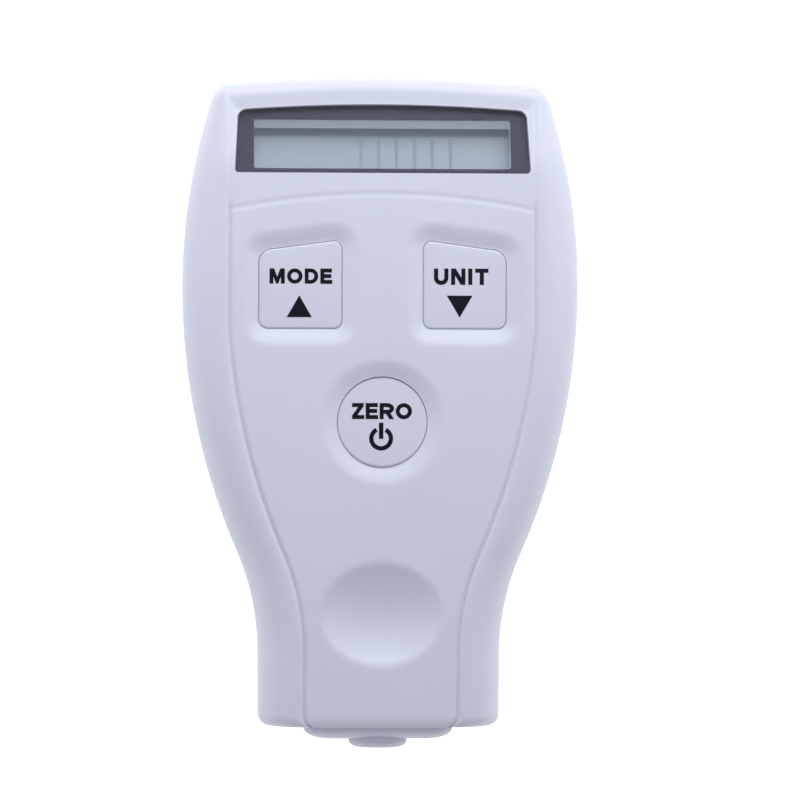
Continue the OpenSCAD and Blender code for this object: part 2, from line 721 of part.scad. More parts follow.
// Main board: follows the inside of the housing, clear of the screw bosses
board_high = y_bay + 0.6;
board_half = shell_screw_high[0] - shell_boss_r - 0.6;
module main_board() {
    rows = [for (i = [0:12]) board_low + (board_high - board_low) * i / 12];
    edge = [for (y = rows) [min(half_w(y) - wall - 2.2, board_half), y]];
    color(board_colour) difference() {
        translate([0, 0, board_top - board_t]) linear_extrude(board_t)
            polygon(concat(edge, [for (i = [len(edge) - 1:-1:0]) [-edge[i][0], edge[i][1]]]));
        board_screw_places() translate([0, 0, board_top - board_t - 1])
            cylinder(h = board_t + 2, r = small_shank_r + 0.15, $fn = 24);
    }
}
module board_screws() {
    color(steel_colour) board_screw_places() translate([0, 0, board_top - board_t])
        screw(board_t + 4, small_shank_r, small_head_r, small_head_h, $fn = 24);
}
module controller_chip() {
    chip_w = 10;
    chip_y = (board_low + y_zero - switch_w / 2 - chip_w) / 2;
    color(dark_colour) translate([-chip_w / 2, chip_y, board_top]) union() {
        translate([0, 0, 0.3]) cube([chip_w, chip_w, 1.4]);
        for (i = [0:8]) translate([-0.8, 0.8 + i, 0]) cube([chip_w + 1.6, 0.4, 0.6]);
    }
}

// Ribbon in a short loop from the display board to the main board
module display_ribbon() {
    ribbon_w = 14;
    ribbon_t = 0.3;
    back = board_z - display_board_t - ribbon_t / 2;
    spot = function (up, depth) [y_lens + up * cos(lens_tilt) + depth * sin(lens_tilt),
        face_z(y_lens) - lens_sink - up * sin(lens_tilt) + depth * cos(lens_tilt)];
    path = [spot(display_board_low + 3, back), spot(display_board_low - 0.2, back),
            spot(display_board_low - 1.4, back - 0.4), [board_high - 0.6, board_top + 0.6],
            [board_high - 1.4, board_top + ribbon_t / 2], [board_high - 4, board_top + ribbon_t / 2]];
    side = [for (i = [0:len(path) - 1]) let (d = path_dir(path, i)) ribbon_t / 2 * [-d[1], d[0]]];
    color([0.9, 0.55, 0.15]) translate([-ribbon_w / 2, 0, 0]) rotate([90, 0, 90]) linear_extrude(ribbon_w)
        polygon(concat(path + side, [for (i = [len(path) - 1:-1:0]) path[i] - side[i]]));
}

// Switches: a body with a round well, and the plunger that the key's stem pushes
well_depth = 2.2;
module switch_body(x, y) {
    color(dark_colour) translate([x, y, board_top]) difference() {
        translate([-switch_w / 2, -switch_w / 2, 0]) cube([switch_w, switch_w, switch_h]);
        translate([0, 0, switch_h - well_depth]) cylinder(h = well_depth + 1, r = plunger_r + 0.15);
    }
}
module plunger(x, y) {
    length = plunger_h + well_depth - key_travel - 0.2;
    color([0.75, 0.7, 0.6]) translate([x, y, plunger_top - length]) cylinder(h = length, r = plunger_r);
}
module mode_switch() switch_body(-key_pitch / 2, y_key);
module unit_switch() switch_body(key_pitch / 2, y_key);
module zero_switch() switch_body(0, y_zero);
module mode_plunger() plunger(-key_pitch / 2, y_key);
module unit_plunger() plunger(key_pitch / 2, y_key);
module zero_plunger() plunger(0, y_zero);

// Battery cells side by side, one turned round
module cell() {
    stud_h = 0.8;
    stud_r = 1.9;
    rotate_extrude() polygon(concat([[0, 0], [cell_d / 2 - 0.5, 0], [cell_d / 2, 0.5],
        [cell_d / 2, cell_l - stud_h - 0.5], [cell_d / 2 - 0.5, cell_l - stud_h],
        [stud_r, cell_l - stud_h], [stud_r, cell_l], [0, cell_l]]));
}
module battery_left() {
    color([0.25, 0.3, 0.35]) translate([-cell_x, cell_end - cell_l, cell_z]) rotate([-90, 0, 0]) cell();
}
module battery_right() {
    color([0.25, 0.3, 0.35]) translate([cell_x, cell_end, cell_z]) rotate([90, 0, 0]) cell();
}

// Contacts: sheet plates at the bay's ends; the upper two have tails that reach the main board
plate_w = cell_d - 1.5;
spring_wire = 0.35;
stud_plate = contact_room - contact_t;
module contact_plate(x) {
    translate([x - plate_w / 2, y_bay - contact_t, cell_z - plate_w / 2])
        cube([plate_w, contact_t, bay_roof - cell_z + plate_w / 2 - 0.1]);
    translate([x - tail_w / 2, y_bay - contact_t, cell_z])
        cube([tail_w, contact_t, board_top - board_t - cell_z]);
}
module contact_positive() {
    color(steel_colour) union() {
        contact_plate(-cell_x);
        translate([-cell_x, y_bay, cell_z]) rotate([90, 0, 0]) cylinder(h = contact_room, r1 = 3.2, r2 = 2.2);
    }
}
module contact_negative() color(steel_colour) contact_plate(cell_x);
module contact_bridge() {
    color(steel_colour) union() {
        translate([-cell_x - plate_w / 2, y_bay_low, cell_z - plate_w / 2])
            cube([2 * cell_x + plate_w, contact_t, plate_w]);
        translate([cell_x, y_bay_low, cell_z]) rotate([-90, 0, 0]) cylinder(h = contact_room, r1 = 3.2, r2 = 2.2);
    }
}
module battery_springs() {
    color(steel_colour) {
        translate([-cell_x, y_bay_low + contact_t, cell_z]) rotate([-90, 0, 0])
            coil_spring(stud_plate, 3.6, 2, 3, spring_wire);
        translate([cell_x, y_bay - contact_t, cell_z]) rotate([90, 0, 0])
            coil_spring(stud_plate, 3.6, 2, 3, spring_wire);
    }
}

// Probe: a collar held between the halves, and the sprung sleeve with core and coil
module probe_collar() {
    round_l = 1.8;
    round_w = 4.5;
    color(shell_colour) at_probe(tip_proud) difference() {
        union() {
            hull() for (x = [-1, 1], y = [-1, 1])
                translate([x * (collar_w / 2 - collar_r), y * (collar_h / 2 - collar_r), 0])
                    rotate_extrude($fn = 32) polygon(concat([[0, 0]],
                        [for (i = [0:5]) let (a = 18 * i)
                            [collar_r - round_w + round_w * sin(a), round_l * (1 - cos(a))]],
                        [[collar_r, collar_proud + wall + 0.5], [0, collar_proud + wall + 0.5]]));
            translate([0, 0, collar_proud + wall + seat_gap]) collar_block(1.2, 0, collar_flange_t);
            translate([0, 0, collar_proud + wall + seat_gap])
                cylinder(h = barrel_end - tip_proud - collar_proud - wall - seat_gap, r = barrel_r);
        }
        translate([0, 0, -1]) cylinder(h = big, r = tip_d / 2 + probe_gap);
        translate([0, 0, bore_step - tip_proud]) cylinder(h = big, r = sleeve_flange_r + probe_gap);
    }
}
module probe_sleeve() {
    tip_round = 0.9;
    color(shell_colour) at_probe() rotate_extrude() polygon(concat(
        [[core_r + 0.05, 0], [tip_d / 2 - tip_round, 0]],
        [for (i = [1:5]) let (a = 18 * i)
            [tip_d / 2 - tip_round + tip_round * sin(a), tip_round * (1 - cos(a))]],
        [[tip_d / 2, nose_l], [sleeve_flange_r, nose_l], [sleeve_flange_r, nose_l + sleeve_flange_t],
         [sleeve_r, nose_l + sleeve_flange_t], [sleeve_r, sleeve_front], [core_r + 0.05, sleeve_front]]));
}
module probe_core() {
    color([0.25, 0.24, 0.24]) at_probe() cylinder(h = sleeve_front + bobbin_l + 1, r = core_r);
}
module coil_bobbin() {
    hub_r = core_r + 0.6;
    color([0.9, 0.88, 0.8]) at_probe(sleeve_front) rotate_extrude() polygon([[core_r + 0.05, 0], [bobbin_r, 0],
        [bobbin_r, bobbin_flange], [hub_r, bobbin_flange], [hub_r, bobbin_l - bobbin_flange],
        [bobbin_r, bobbin_l - bobbin_flange], [bobbin_r, bobbin_l], [core_r + 0.05, bobbin_l]]);
}
module coil_winding() {
    color([0.72, 0.4, 0.2]) at_probe(sleeve_front + bobbin_flange) difference() {
        cylinder(h = bobbin_l - 2 * bobbin_flange, r = bobbin_r - 0.4);
        translate([0, 0, -1]) cylinder(h = bobbin_l + 2, r = core_r + 0.6);
    }
}
module probe_spring() {
    color(steel_colour) at_probe(nose_l + sleeve_flange_t)
        coil_spring(spring_l, sleeve_flange_r - 1.1, sleeve_flange_r - 1.1, 5, 0.35);
}
module probe_cap() {
    color(dark_colour) at_probe(cap_depth) difference() {
        cylinder(h = cap_t, r = sleeve_flange_r + probe_gap);
        translate([0, 0, -1]) cylinder(h = cap_t + 2, r = 2.2);
    }
}
module probe_leads() {
    lead_r = 0.4;
    start = y_tip + sleeve_front + bobbin_l;
    leave = y_tip + barrel_end;
    land = board_low + 2;
    rise = board_top - board_t - part_z;
    color([0.7, 0.15, 0.1]) for (x = [-1, 1]) bar([[2.4 * x, start, part_z], [1.6 * x, start + 4, part_z],
        [0.9 * x, leave - 3, part_z], [0.9 * x, leave + 1, part_z + 0.1 * rise],
        [1.1 * x, land - 0.6, part_z + 0.5 * rise], [1.2 * x, land, part_z + 0.8 * rise],
        [1.2 * x, land, part_z + rise]], lead_r);
}
module shell_screws() {
    color(steel_colour) shell_screw_places() translate([0, 0, head_seat])
        screw(shell_screw_l, shell_shank_r, shell_head_r, shell_head_h, $fn = 24);
}

front_shell();
rear_shell();
battery_door();
window_lens();
mode_key();
unit_key();
zero_key();
display_glass();
display_frame();
zebra_strip();
display_board();
display_ribbon();
display_screws();
main_board();
controller_chip();
board_screws();
mode_switch();
unit_switch();
zero_switch();
mode_plunger();
unit_plunger();
zero_plunger();
battery_left();
battery_right();
contact_positive();
contact_negative();
contact_bridge();
battery_springs();
probe_collar();
probe_sleeve();
probe_core();
coil_bobbin();
coil_winding();
probe_spring();
probe_cap();
probe_leads();
shell_screws();
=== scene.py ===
"""Looks of the handheld coating thickness gauge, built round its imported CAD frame, in metres."""

import json
import math

import bmesh
import bpy
from mathutils import Matrix, Vector


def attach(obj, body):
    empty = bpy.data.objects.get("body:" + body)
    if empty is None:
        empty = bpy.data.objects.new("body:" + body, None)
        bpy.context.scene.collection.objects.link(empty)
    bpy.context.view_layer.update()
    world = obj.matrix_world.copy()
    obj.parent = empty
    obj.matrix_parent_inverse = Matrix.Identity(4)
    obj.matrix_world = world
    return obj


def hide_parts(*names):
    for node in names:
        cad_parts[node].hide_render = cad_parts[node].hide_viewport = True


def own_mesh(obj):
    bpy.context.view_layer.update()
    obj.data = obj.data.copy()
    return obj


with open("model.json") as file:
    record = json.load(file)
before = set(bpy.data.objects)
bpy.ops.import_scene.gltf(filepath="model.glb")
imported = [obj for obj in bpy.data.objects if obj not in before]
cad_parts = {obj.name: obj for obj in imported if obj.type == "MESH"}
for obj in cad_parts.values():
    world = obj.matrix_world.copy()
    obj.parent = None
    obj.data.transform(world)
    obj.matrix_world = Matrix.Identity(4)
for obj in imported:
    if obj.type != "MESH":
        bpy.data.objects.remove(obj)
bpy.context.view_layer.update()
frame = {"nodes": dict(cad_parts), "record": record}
MM = 0.001

# Sizes of the gauge, in millimetres
BODY_W, BODY_L, BODY_T, NECK_W = 70, 114.5, 29.5, 42.8
SHOULDER_R, HIP_R, WAIST_R, TOP_ARCH_R = 120, 118, 45, 300
TOP_ROUND, BOTTOM_ROUND, BACK_R, BACK_LIFT = 2.75, 2, 9, 3
WALL, PART_Z = 2.2, 13
FACE_R, FACET_TILT, BEND_SOFT = 600, 12, 2.5
FLANK_W, LEAST_FLANK, FLANK_H, PANEL_W, GROOVE_W, GROOVE_D = 7.9, 2.5, 9, 53.6, 1.4, 0.5
ARCH_R, ARCH_GROOVE_W, ARCH_GROOVE_D, ARCH_FADE = 128, 1.3, 0.14, 1.5
MIDDLE_GROOVE_W, MIDDLE_GROOVE_D, MIDDLE_FADE, ZERO_FADE = 1.3, 0.15, 3, 2
THUMB_DEPTH, THUMB_W, THUMB_L, THUMB_END, THUMB_SOFT = 2.9, 21.6, 18, 1.6, 0.02
LENS_W, LENS_H, LENS_T, LENS_TILT, LENS_SINK = 51.7, 13.2, 1.2, 15, 0.6
LENS_ARCH, LENS_ARCH_R, LENS_TAPER = 1.9, 300, 0.6
VIEW_W, VIEW_H, VIEW_DROP, VIEW_DEPTH = 45.1, 9, 1.1, 5
POCKET_RISE, POCKET_GAP, POCKET_SOFT, POCKET_REACH = 0.25, 0.3, 0.35, 10
# How steeply the pocket round the window rises above it, beside it and below it
POCKET_UP, POCKET_ASIDE, POCKET_DOWN = 0.28, 0.43, 1.2
KEY_W, KEY_L, KEY_SLANT, KEY_X, ZERO_R = 14.6, 15.6, 2, 14.4, 7.9
KEY_GAP, SEEN_GAP, CAP_SINK = 0.2, 0.05, 0.8
DISH_D, DISH_RUN, DISH_BEND, DISH_ROUND = 1.1, 3, 1.2, 1.5
TIP_R, TIP_PROUD, COLLAR_PROUD, COLLAR_W, COLLAR_H, COLLAR_R = 5.15, 1.6, 2.4, 26.4, 13.6, 5
BAY_W, BAY_ROOF, BAY_WALL, CELL_L, CONTACT_ROOM = 22.6, 13, 1.4, 44.5, 3.8
DOOR_SPARE, DOOR_MARGIN, DOOR_T, DOOR_CORNER, DOOR_GAP, HOOK_REACH = 3, 3, 1.8, 3, 0.25, 1.8
# How far a cut runs past the face it opens, and what keeps faces from coinciding
PAST, HAIR = 1, 0.02

# Places along the gauge
Y_TOP = (BODY_L + COLLAR_PROUD + TIP_PROUD) / 2
Y_BOT = Y_TOP - BODY_L
Y_TIP = -Y_TOP
Y_WIDE, Y_CROWN, Y_BEND, Y_ARCH = Y_TOP - 36.5, Y_TOP - 37, Y_TOP - 15.5, Y_TOP - 20.9
Y_KEY, Y_ZERO, Y_THUMB, Y_LENS = Y_TOP - 36.7, Y_TOP - 60.8, Y_TOP - 94.6, Y_TOP - 10.7
Y_BAY = Y_TOP - 23.4
Y_BAY_LOW = Y_BAY - CELL_L - 2 * CONTACT_ROOM
Y_DOOR_LOW, Y_DOOR_HIGH = Y_BAY_LOW - DOOR_MARGIN, Y_BAY + DOOR_MARGIN
DOOR_W, DOOR_L = BAY_W + 2 * BAY_WALL + DOOR_SPARE, Y_DOOR_HIGH - Y_DOOR_LOW
DOOR_Y = (Y_DOOR_LOW + Y_DOOR_HIGH) / 2
Y_LIFT = Y_DOOR_LOW - HOOK_REACH - WALL
NECK_RUN = math.sqrt((HIP_R + WAIST_R) ** 2 - (NECK_W / 2 + WAIST_R - BODY_W / 2 + HIP_R) ** 2)
Y_NECK = Y_WIDE - NECK_RUN
Y_TURN = Y_WIDE - NECK_RUN * HIP_R / (HIP_R + WAIST_R)
# From here to the display end the side grooves are faint
Y_FAINT, FAINT_SHARE, FAINT_RUN = 38.5, 0.3, 4


def soft_step(t):
    """Rises smoothly from 0 to 1 as t does."""
    t = min(max(t, 0), 1)
    return t * t * (3 - 2 * t)


def soft_min(a, b, reach):
    """The lesser of two values, blended where they are within reach of each other."""
    h = max(reach - abs(a - b), 0) / reach
    return min(a, b) - h * h * reach / 4


def ripple(distance, width, depth):
    """Depth of a soft groove at a distance from its middle."""
    part = abs(distance) * 2 / width
    return depth * 0.5 * (1 + math.cos(math.pi * part)) if part < 1 else 0


def half_width(y):
    """Half the width of the housing: shoulder, hip, waist and neck."""
    if y >= Y_WIDE:
        return BODY_W / 2 - SHOULDER_R + math.sqrt(SHOULDER_R ** 2 - (y - Y_WIDE) ** 2)
    if y >= Y_TURN:
        return BODY_W / 2 - HIP_R + math.sqrt(HIP_R ** 2 - (y - Y_WIDE) ** 2)
    if y >= Y_NECK:
        return NECK_W / 2 + WAIST_R - math.sqrt(WAIST_R ** 2 - (y - Y_NECK) ** 2)
    return NECK_W / 2


def flank_at(y):
    """Width of the flank, which narrows towards the display end."""
    return FLANK_W if y < Y_WIDE else max(LEAST_FLANK, min(FLANK_W, half_width(y) - PANEL_W / 2))


def face_height(y):
    """Height of the face: a slow crown, then the display facet after a soft bend."""
    d = y - Y_BEND
    over = 0 if d <= -BEND_SOFT else d if d >= BEND_SOFT else (d + BEND_SOFT) ** 2 / (4 * BEND_SOFT)
    return BODY_T - (y - over - Y_CROWN) ** 2 / (2 * FACE_R) - over * math.tan(math.radians(FACET_TILT))


def back_height(y):
    """Height of the back, which lifts towards the probe end."""
    return 0 if y >= Y_LIFT else BACK_LIFT * ((Y_LIFT - y) / (Y_LIFT - Y_BOT)) ** 2


def arched(x, y):
    """Place along y of a ring's point, bowed more and more towards the display end."""
    sag = TOP_ARCH_R - math.sqrt(TOP_ARCH_R ** 2 - x * x)
    return y - soft_step((y - Y_WIDE) / (Y_TOP - Y_WIDE)) * sag


# Outlines of keys and window, and the distance outside a straight-sided outline
KEY_CORNERS = [(-KEY_W / 2, -KEY_L / 2), (KEY_W / 2, -KEY_L / 2), (KEY_W / 2, KEY_L / 2),
               (-KEY_W / 2, KEY_L / 2 - KEY_SLANT)]
KEY_RADII = [1.6, 1.4, 1.5, 2.4]
LENS_CORNERS = [(-LENS_W / 2, -LENS_H / 2), (LENS_W / 2, -LENS_H / 2),
                (LENS_W / 2 - LENS_TAPER, LENS_H / 2 - LENS_ARCH), (0, LENS_H / 2),
                (-LENS_W / 2 + LENS_TAPER, LENS_H / 2 - LENS_ARCH)]
LENS_RADII = [0.6, 0.6, 1.6, LENS_ARCH_R, 1.6]
LENS_PEAK = LENS_H / 2 - LENS_ARCH_R * (math.hypot(LENS_ARCH / (LENS_W / 2 - LENS_TAPER), 1) - 1)


def rounded(corners, radii, grow=0, steps=8):
    """Points of an outline whose corners are rounded, moved outwards by grow."""
    points = []
    count = len(corners)
    for i in range(count):
        at = Vector(corners[i])
        before = (Vector(corners[i - 1]) - at).normalized()
        after = (Vector(corners[(i + 1) % count]) - at).normalized()
        half = math.acos(max(-1, min(1, before.dot(after)))) / 2
        middle = at + (before + after).normalized() * (radii[i] / math.sin(half))
        start = at + before * (radii[i] / math.tan(half)) - middle
        turn = math.pi - 2 * half
        for k in range(steps + 1):
            a = turn * k / steps
            spoke = Vector((start.x * math.cos(a) - start.y * math.sin(a),
                            start.x * math.sin(a) + start.y * math.cos(a)))
            points.append(middle + spoke * ((radii[i] + grow) / radii[i]))
    return points


def box_corners(width, height):
    x, y = width / 2, height / 2
    return [(-x, -y), (x, -y), (x, y), (-x, y)]


def circle(radius, count):
    return [Vector((radius * math.cos(2 * math.pi * k / count), radius * math.sin(2 * math.pi * k / count)))
            for k in range(count)]


def outside(point, corners):
    """Distance from a point to a convex outline, zero or less inside it."""
    nearest = 1e9
    deepest = -1e9
    count = len(corners)
    for i in range(count):
        a = Vector(corners[i])
        edge = Vector(corners[(i + 1) % count]) - a
        to = point - a
        part = min(max(to.dot(edge) / edge.length_squared, 0), 1)
        nearest = min(nearest, (to - edge * part).length)
        deepest = max(deepest, (to.x * edge.y - to.y * edge.x) / edge.length)
    return nearest if deepest > 0 else deepest


DISH_CORNERS = [(x * (1 - 2 * DISH_ROUND / KEY_W), y * (1 - 2 * DISH_ROUND / KEY_L)) for x, y in KEY_CORNERS]


def dish(distance):
    """Depth of a key's dish at a distance from the key."""
    return DISH_D * (1 - min(max(distance / DISH_RUN, 0), 1)) ** DISH_BEND


def thumb_hollow(x, y):
    """Depth of the thumb hollow at a point, with a soft rim."""
    out = (2 * x / THUMB_W) ** 2 + (2 * (y - Y_THUMB) / THUMB_L) ** 2
    if out > THUMB_END:
        return 0
    hollow = THUMB_DEPTH * (1 - out)
    return 0.5 * (hollow + math.sqrt(hollow * hollow + THUMB_SOFT))


def panel_depth(x, y, panel_edge):
    """How far grooves, dishes and the thumb hollow sink the face at a point."""
    side = abs(x)
    strength = FAINT_SHARE + (1 - FAINT_SHARE) * soft_step((Y_FAINT - y) / FAINT_RUN)
    depth = ripple(side - panel_edge, GROOVE_W, GROOVE_D) * strength
    from_arch = math.hypot(x, y - Y_ARCH + ARCH_R) - ARCH_R
    arch_fade = soft_step((panel_edge + GROOVE_W / 2 - side) / ARCH_FADE)
    depth += ripple(from_arch, ARCH_GROOVE_W, ARCH_GROOVE_D) * arch_fade
    if side < MIDDLE_GROOVE_W:
        high_fade = soft_step((Y_ARCH - y) / MIDDLE_FADE)
        low_fade = soft_step((y - Y_ZERO - ZERO_R - ZERO_FADE) / ZERO_FADE)
        depth += ripple(x, MIDDLE_GROOVE_W, MIDDLE_GROOVE_D) * high_fade * low_fade
    if abs(y - Y_KEY) < KEY_L / 2 + DISH_RUN and abs(side - KEY_X) < KEY_W / 2 + DISH_RUN:
        depth += dish(outside(Vector((KEY_X - side, y - Y_KEY)), DISH_CORNERS) - DISH_ROUND)
    from_zero = math.hypot(x, y - Y_ZERO) - ZERO_R
    if from_zero < DISH_RUN:
        depth += dish(from_zero)
    return depth + thumb_hollow(x, y)


def window_floor(x, y):
    """Height of the pocket round the window, whose walls rise outwards from the lens."""
    tilt = math.radians(LENS_TILT)
    floor = face_height(Y_LENS) - LENS_SINK - (y - Y_LENS) * math.tan(tilt) + POCKET_RISE
    along = (y - Y_LENS) / math.cos(tilt)
    side = abs(x)
    up = along - LENS_PEAK + side ** 2 / (2 * LENS_ARCH_R) - POCKET_GAP
    out = side - LENS_W / 2 + LENS_TAPER * (along + LENS_H / 2) / LENS_H - POCKET_GAP
    down = -LENS_H / 2 - POCKET_GAP - along
    return floor + max(0, POCKET_UP * up, POCKET_ASIDE * out, POCKET_DOWN * down)


# Shapes drawn in millimetres with mesh operators

# Distances at which points are merged: in a drawn shape, and in a CAD node's mesh in metres
MERGE, CAD_MERGE = 1e-4, 1e-6
ROUND_STEPS = 64
DISPLAY = Matrix.Translation((0, Y_LENS, face_height(Y_LENS) - LENS_SINK)) @ Matrix.Rotation(
    math.radians(-LENS_TILT), 4, "X")
PROBE = Matrix.Translation((0, Y_TIP, PART_Z)) @ Matrix.Rotation(math.radians(-90), 4, "X")
HERE = Matrix.Identity(4)


def surface(rows, columns, place):
    """A grid whose point in each row and column is moved to the given place."""
    bm = bmesh.new()
    bmesh.ops.create_grid(bm, x_segments=columns - 1, y_segments=rows - 1, size=1)
    for vert in bm.verts:
        column = round((vert.co.x + 1) / 2 * (columns - 1))
        row = round((vert.co.y + 1) / 2 * (rows - 1))
        vert.co = place(row, column)
    return bm


def closed(bm):
    """Merges doubles, fills the open ends and turns the faces outwards."""
    bmesh.ops.remove_doubles(bm, verts=bm.verts, dist=MERGE)
    bmesh.ops.dissolve_degenerate(bm, dist=MERGE, edges=bm.edges)
    bmesh.ops.holes_fill(bm, edges=[edge for edge in bm.edges if edge.is_boundary], sides=0)
    bmesh.ops.recalc_face_normals(bm, faces=bm.faces)
    return bm


def stack(layers, place=HERE):
    """A solid through outlines of equal count; each layer is an outline and its height."""
    count = len(layers[0][0])
    bm = surface(len(layers), count + 1,
                 lambda row, column: layers[row][0][column % count].to_3d() + Vector((0, 0, layers[row][1])))
    closed(bm)
    bmesh.ops.transform(bm, matrix=place, verts=bm.verts)
    return bm


def prism(outline, low, high, place=HERE):
    return stack([(outline, low), (outline, high)], place)


def block(low, high):
    """A box between two corners."""
    bm = bmesh.new()
    low, high = Vector(low), Vector(high)
    size = Matrix.Diagonal((high - low).to_4d())
    size[3][3] = 1
    bmesh.ops.create_cube(bm, size=1, matrix=Matrix.Translation((low + high) / 2) @ size)
    return bm


def turned(profile, steps, place=HERE):
    """A solid of revolution about z from points given as radius and height."""
    bm = bmesh.new()
    points = [bm.verts.new((radius, 0, height)) for radius, height in profile]
    edges = [bm.edges.new((points[i - 1], points[i])) for i in range(len(points))]
    bmesh.ops.spin(bm, geom=points + edges, cent=(0, 0, 0), axis=(0, 0, 1), angle=2 * math.pi, steps=steps,
                   use_merge=True)
    closed(bm)
    bmesh.ops.transform(bm, matrix=place, verts=bm.verts)
    return bm


def draft(bm):
    """Puts a shape into the scene as an object for a cut."""
    mesh = bpy.data.meshes.new("draft")
    bm.to_mesh(mesh)
    bm.free()
    obj = bpy.data.objects.new("draft", mesh)
    bpy.context.scene.collection.objects.link(obj)
    return obj


def carve(solid, *tools, way="DIFFERENCE"):
    """The solid with each tool cut from it, joined to it, or kept only inside it."""
    base = draft(solid)
    drafts = [draft(tool) for tool in tools]
    for tool in drafts:
        change = base.modifiers.new("carve", "BOOLEAN")
        change.operation = way
        change.solver = "MANIFOLD"
        change.object = tool
    bpy.context.view_layer.update()
    bm = bmesh.new()
    bm.from_object(base, bpy.context.evaluated_depsgraph_get())
    for obj in [base] + drafts:
        mesh = obj.data
        bpy.data.objects.remove(obj)
        bpy.data.meshes.remove(mesh)
    return bm


def join(solid, *tools):
    return carve(solid, *tools, way="UNION")


def copied(bm):
    """A second mesh with the same shape."""
    mesh = bpy.data.meshes.new("copy")
    bm.to_mesh(mesh)
    twin = bmesh.new()
    twin.from_mesh(mesh)
    bpy.data.meshes.remove(mesh)
    return twin


def mirrored(bm):
    twin = copied(bm)
    bmesh.ops.scale(twin, vec=(-1, 1, 1), verts=twin.verts)
    bmesh.ops.reverse_faces(twin, faces=twin.faces)
    return twin


def piece(name, bm, body, finish, replaced=(), crease=35):
    """Makes the finished piece in metres, riding on its body."""
    bmesh.ops.scale(bm, vec=(MM, MM, MM), verts=bm.verts)
    mesh = bpy.data.meshes.new(name)
    bm.to_mesh(mesh)
    bm.free()
    mesh.shade_smooth()
    mesh.set_sharp_from_angle(angle=math.radians(crease))
    mesh.materials.append(finish)
    obj = bpy.data.objects.new(name, mesh)
    bpy.context.scene.collection.objects.link(obj)
    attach(obj, body)
    if replaced:
        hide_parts(*replaced)
    return obj


# Finishes: scales of the grain and clouds, the grain's height in metres, and how far gloss varies
GRAIN, CLOUDS, GRAIN_HEIGHT, GLOSS_VARY = 2500, 60, 0.0001, 0.05


def linear(red, green, blue):
    """Colour written as 0 to 255 on a screen, as the shader wants it."""
    parts = [value / 255 for value in (red, green, blue)]
    return [v / 12.92 if v <= 0.04045 else ((v + 0.055) / 1.055) ** 2.4 for v in parts] + [1]


def finish(name, colour, roughness, metal=0, bump=0.03, vary=0.03, shine=0.5):
    """A finish with faint clouds of colour and gloss, and a fine grain."""
    material = bpy.data.materials.new(name)
    material.use_nodes = True
    nodes, links = material.node_tree.nodes, material.node_tree.links
    shader = nodes["Principled BSDF"]
    shader.inputs["Metallic"].default_value = metal
    shader.inputs["Specular IOR Level"].default_value = shine
    where = nodes.new("ShaderNodeTexCoord")
    clouds = nodes.new("ShaderNodeTexNoise")
    clouds.inputs["Scale"].default_value = CLOUDS
    clouds.inputs["Detail"].default_value = 3
    links.new(where.outputs["Object"], clouds.inputs["Vector"])
    tint = nodes.new("ShaderNodeValToRGB")
    for end, sign in zip(tint.color_ramp.elements, (-1, 1)):
        end.position = 0.5 + sign * 0.2
        end.color = [max(0, part * (1 + sign * vary)) for part in colour[:3]] + [1]
    links.new(clouds.outputs["Fac"], tint.inputs["Fac"])
    links.new(tint.outputs["Color"], shader.inputs["Base Color"])
    gloss = nodes.new("ShaderNodeMapRange")
    gloss.inputs["To Min"].default_value = max(0, roughness - GLOSS_VARY)
    gloss.inputs["To Max"].default_value = roughness + GLOSS_VARY
    links.new(clouds.outputs["Fac"], gloss.inputs["Value"])
    links.new(gloss.outputs["Result"], shader.inputs["Roughness"])
    fine = nodes.new("ShaderNodeTexNoise")
    fine.inputs["Scale"].default_value = GRAIN
    links.new(where.outputs["Object"], fine.inputs["Vector"])
    relief = nodes.new("ShaderNodeBump")
    relief.inputs["Strength"].default_value = bump
    relief.inputs["Distance"].default_value = GRAIN_HEIGHT
    links.new(fine.outputs["Fac"], relief.inputs["Height"])
    links.new(relief.outputs["Normal"], shader.inputs["Normal"])
    return material


def clear_finish(name, ior):
    """Clear plastic: light passes straight through, with a gloss that grows towards the edge."""
    material = bpy.data.materials.new(name)
    material.use_nodes = True
    nodes, links = material.node_tree.nodes, material.node_tree.links
    nodes.remove(nodes["Principled BSDF"])
    through = nodes.new("ShaderNodeBsdfTransparent")
    through.inputs["Color"].default_value = (0.97, 0.98, 0.98, 1)
    shine = nodes.new("ShaderNodeBsdfGlossy")
    where = nodes.new("ShaderNodeTexCoord")
    haze = nodes.new("ShaderNodeTexNoise")
    haze.inputs["Scale"].default_value = 300
    soft = nodes.new("ShaderNodeMapRange")
    soft.inputs["To Min"].default_value = 0.04
    soft.inputs["To Max"].default_value = 0.1
    edge = nodes.new("ShaderNodeFresnel")
    edge.inputs["IOR"].default_value = ior
    both = nodes.new("ShaderNodeMixShader")
    links.new(where.outputs["Object"], haze.inputs["Vector"])
    links.new(haze.outputs["Fac"], soft.inputs["Value"])
    links.new(soft.outputs["Result"], shine.inputs["Roughness"])
    links.new(edge.outputs["Fac"], both.inputs["Fac"])
    links.new(through.outputs["BSDF"], both.inputs[1])
    links.new(shine.outputs["BSDF"], both.inputs[2])
    links.new(both.outputs["Shader"], nodes["Material Output"].inputs["Surface"])
    return material


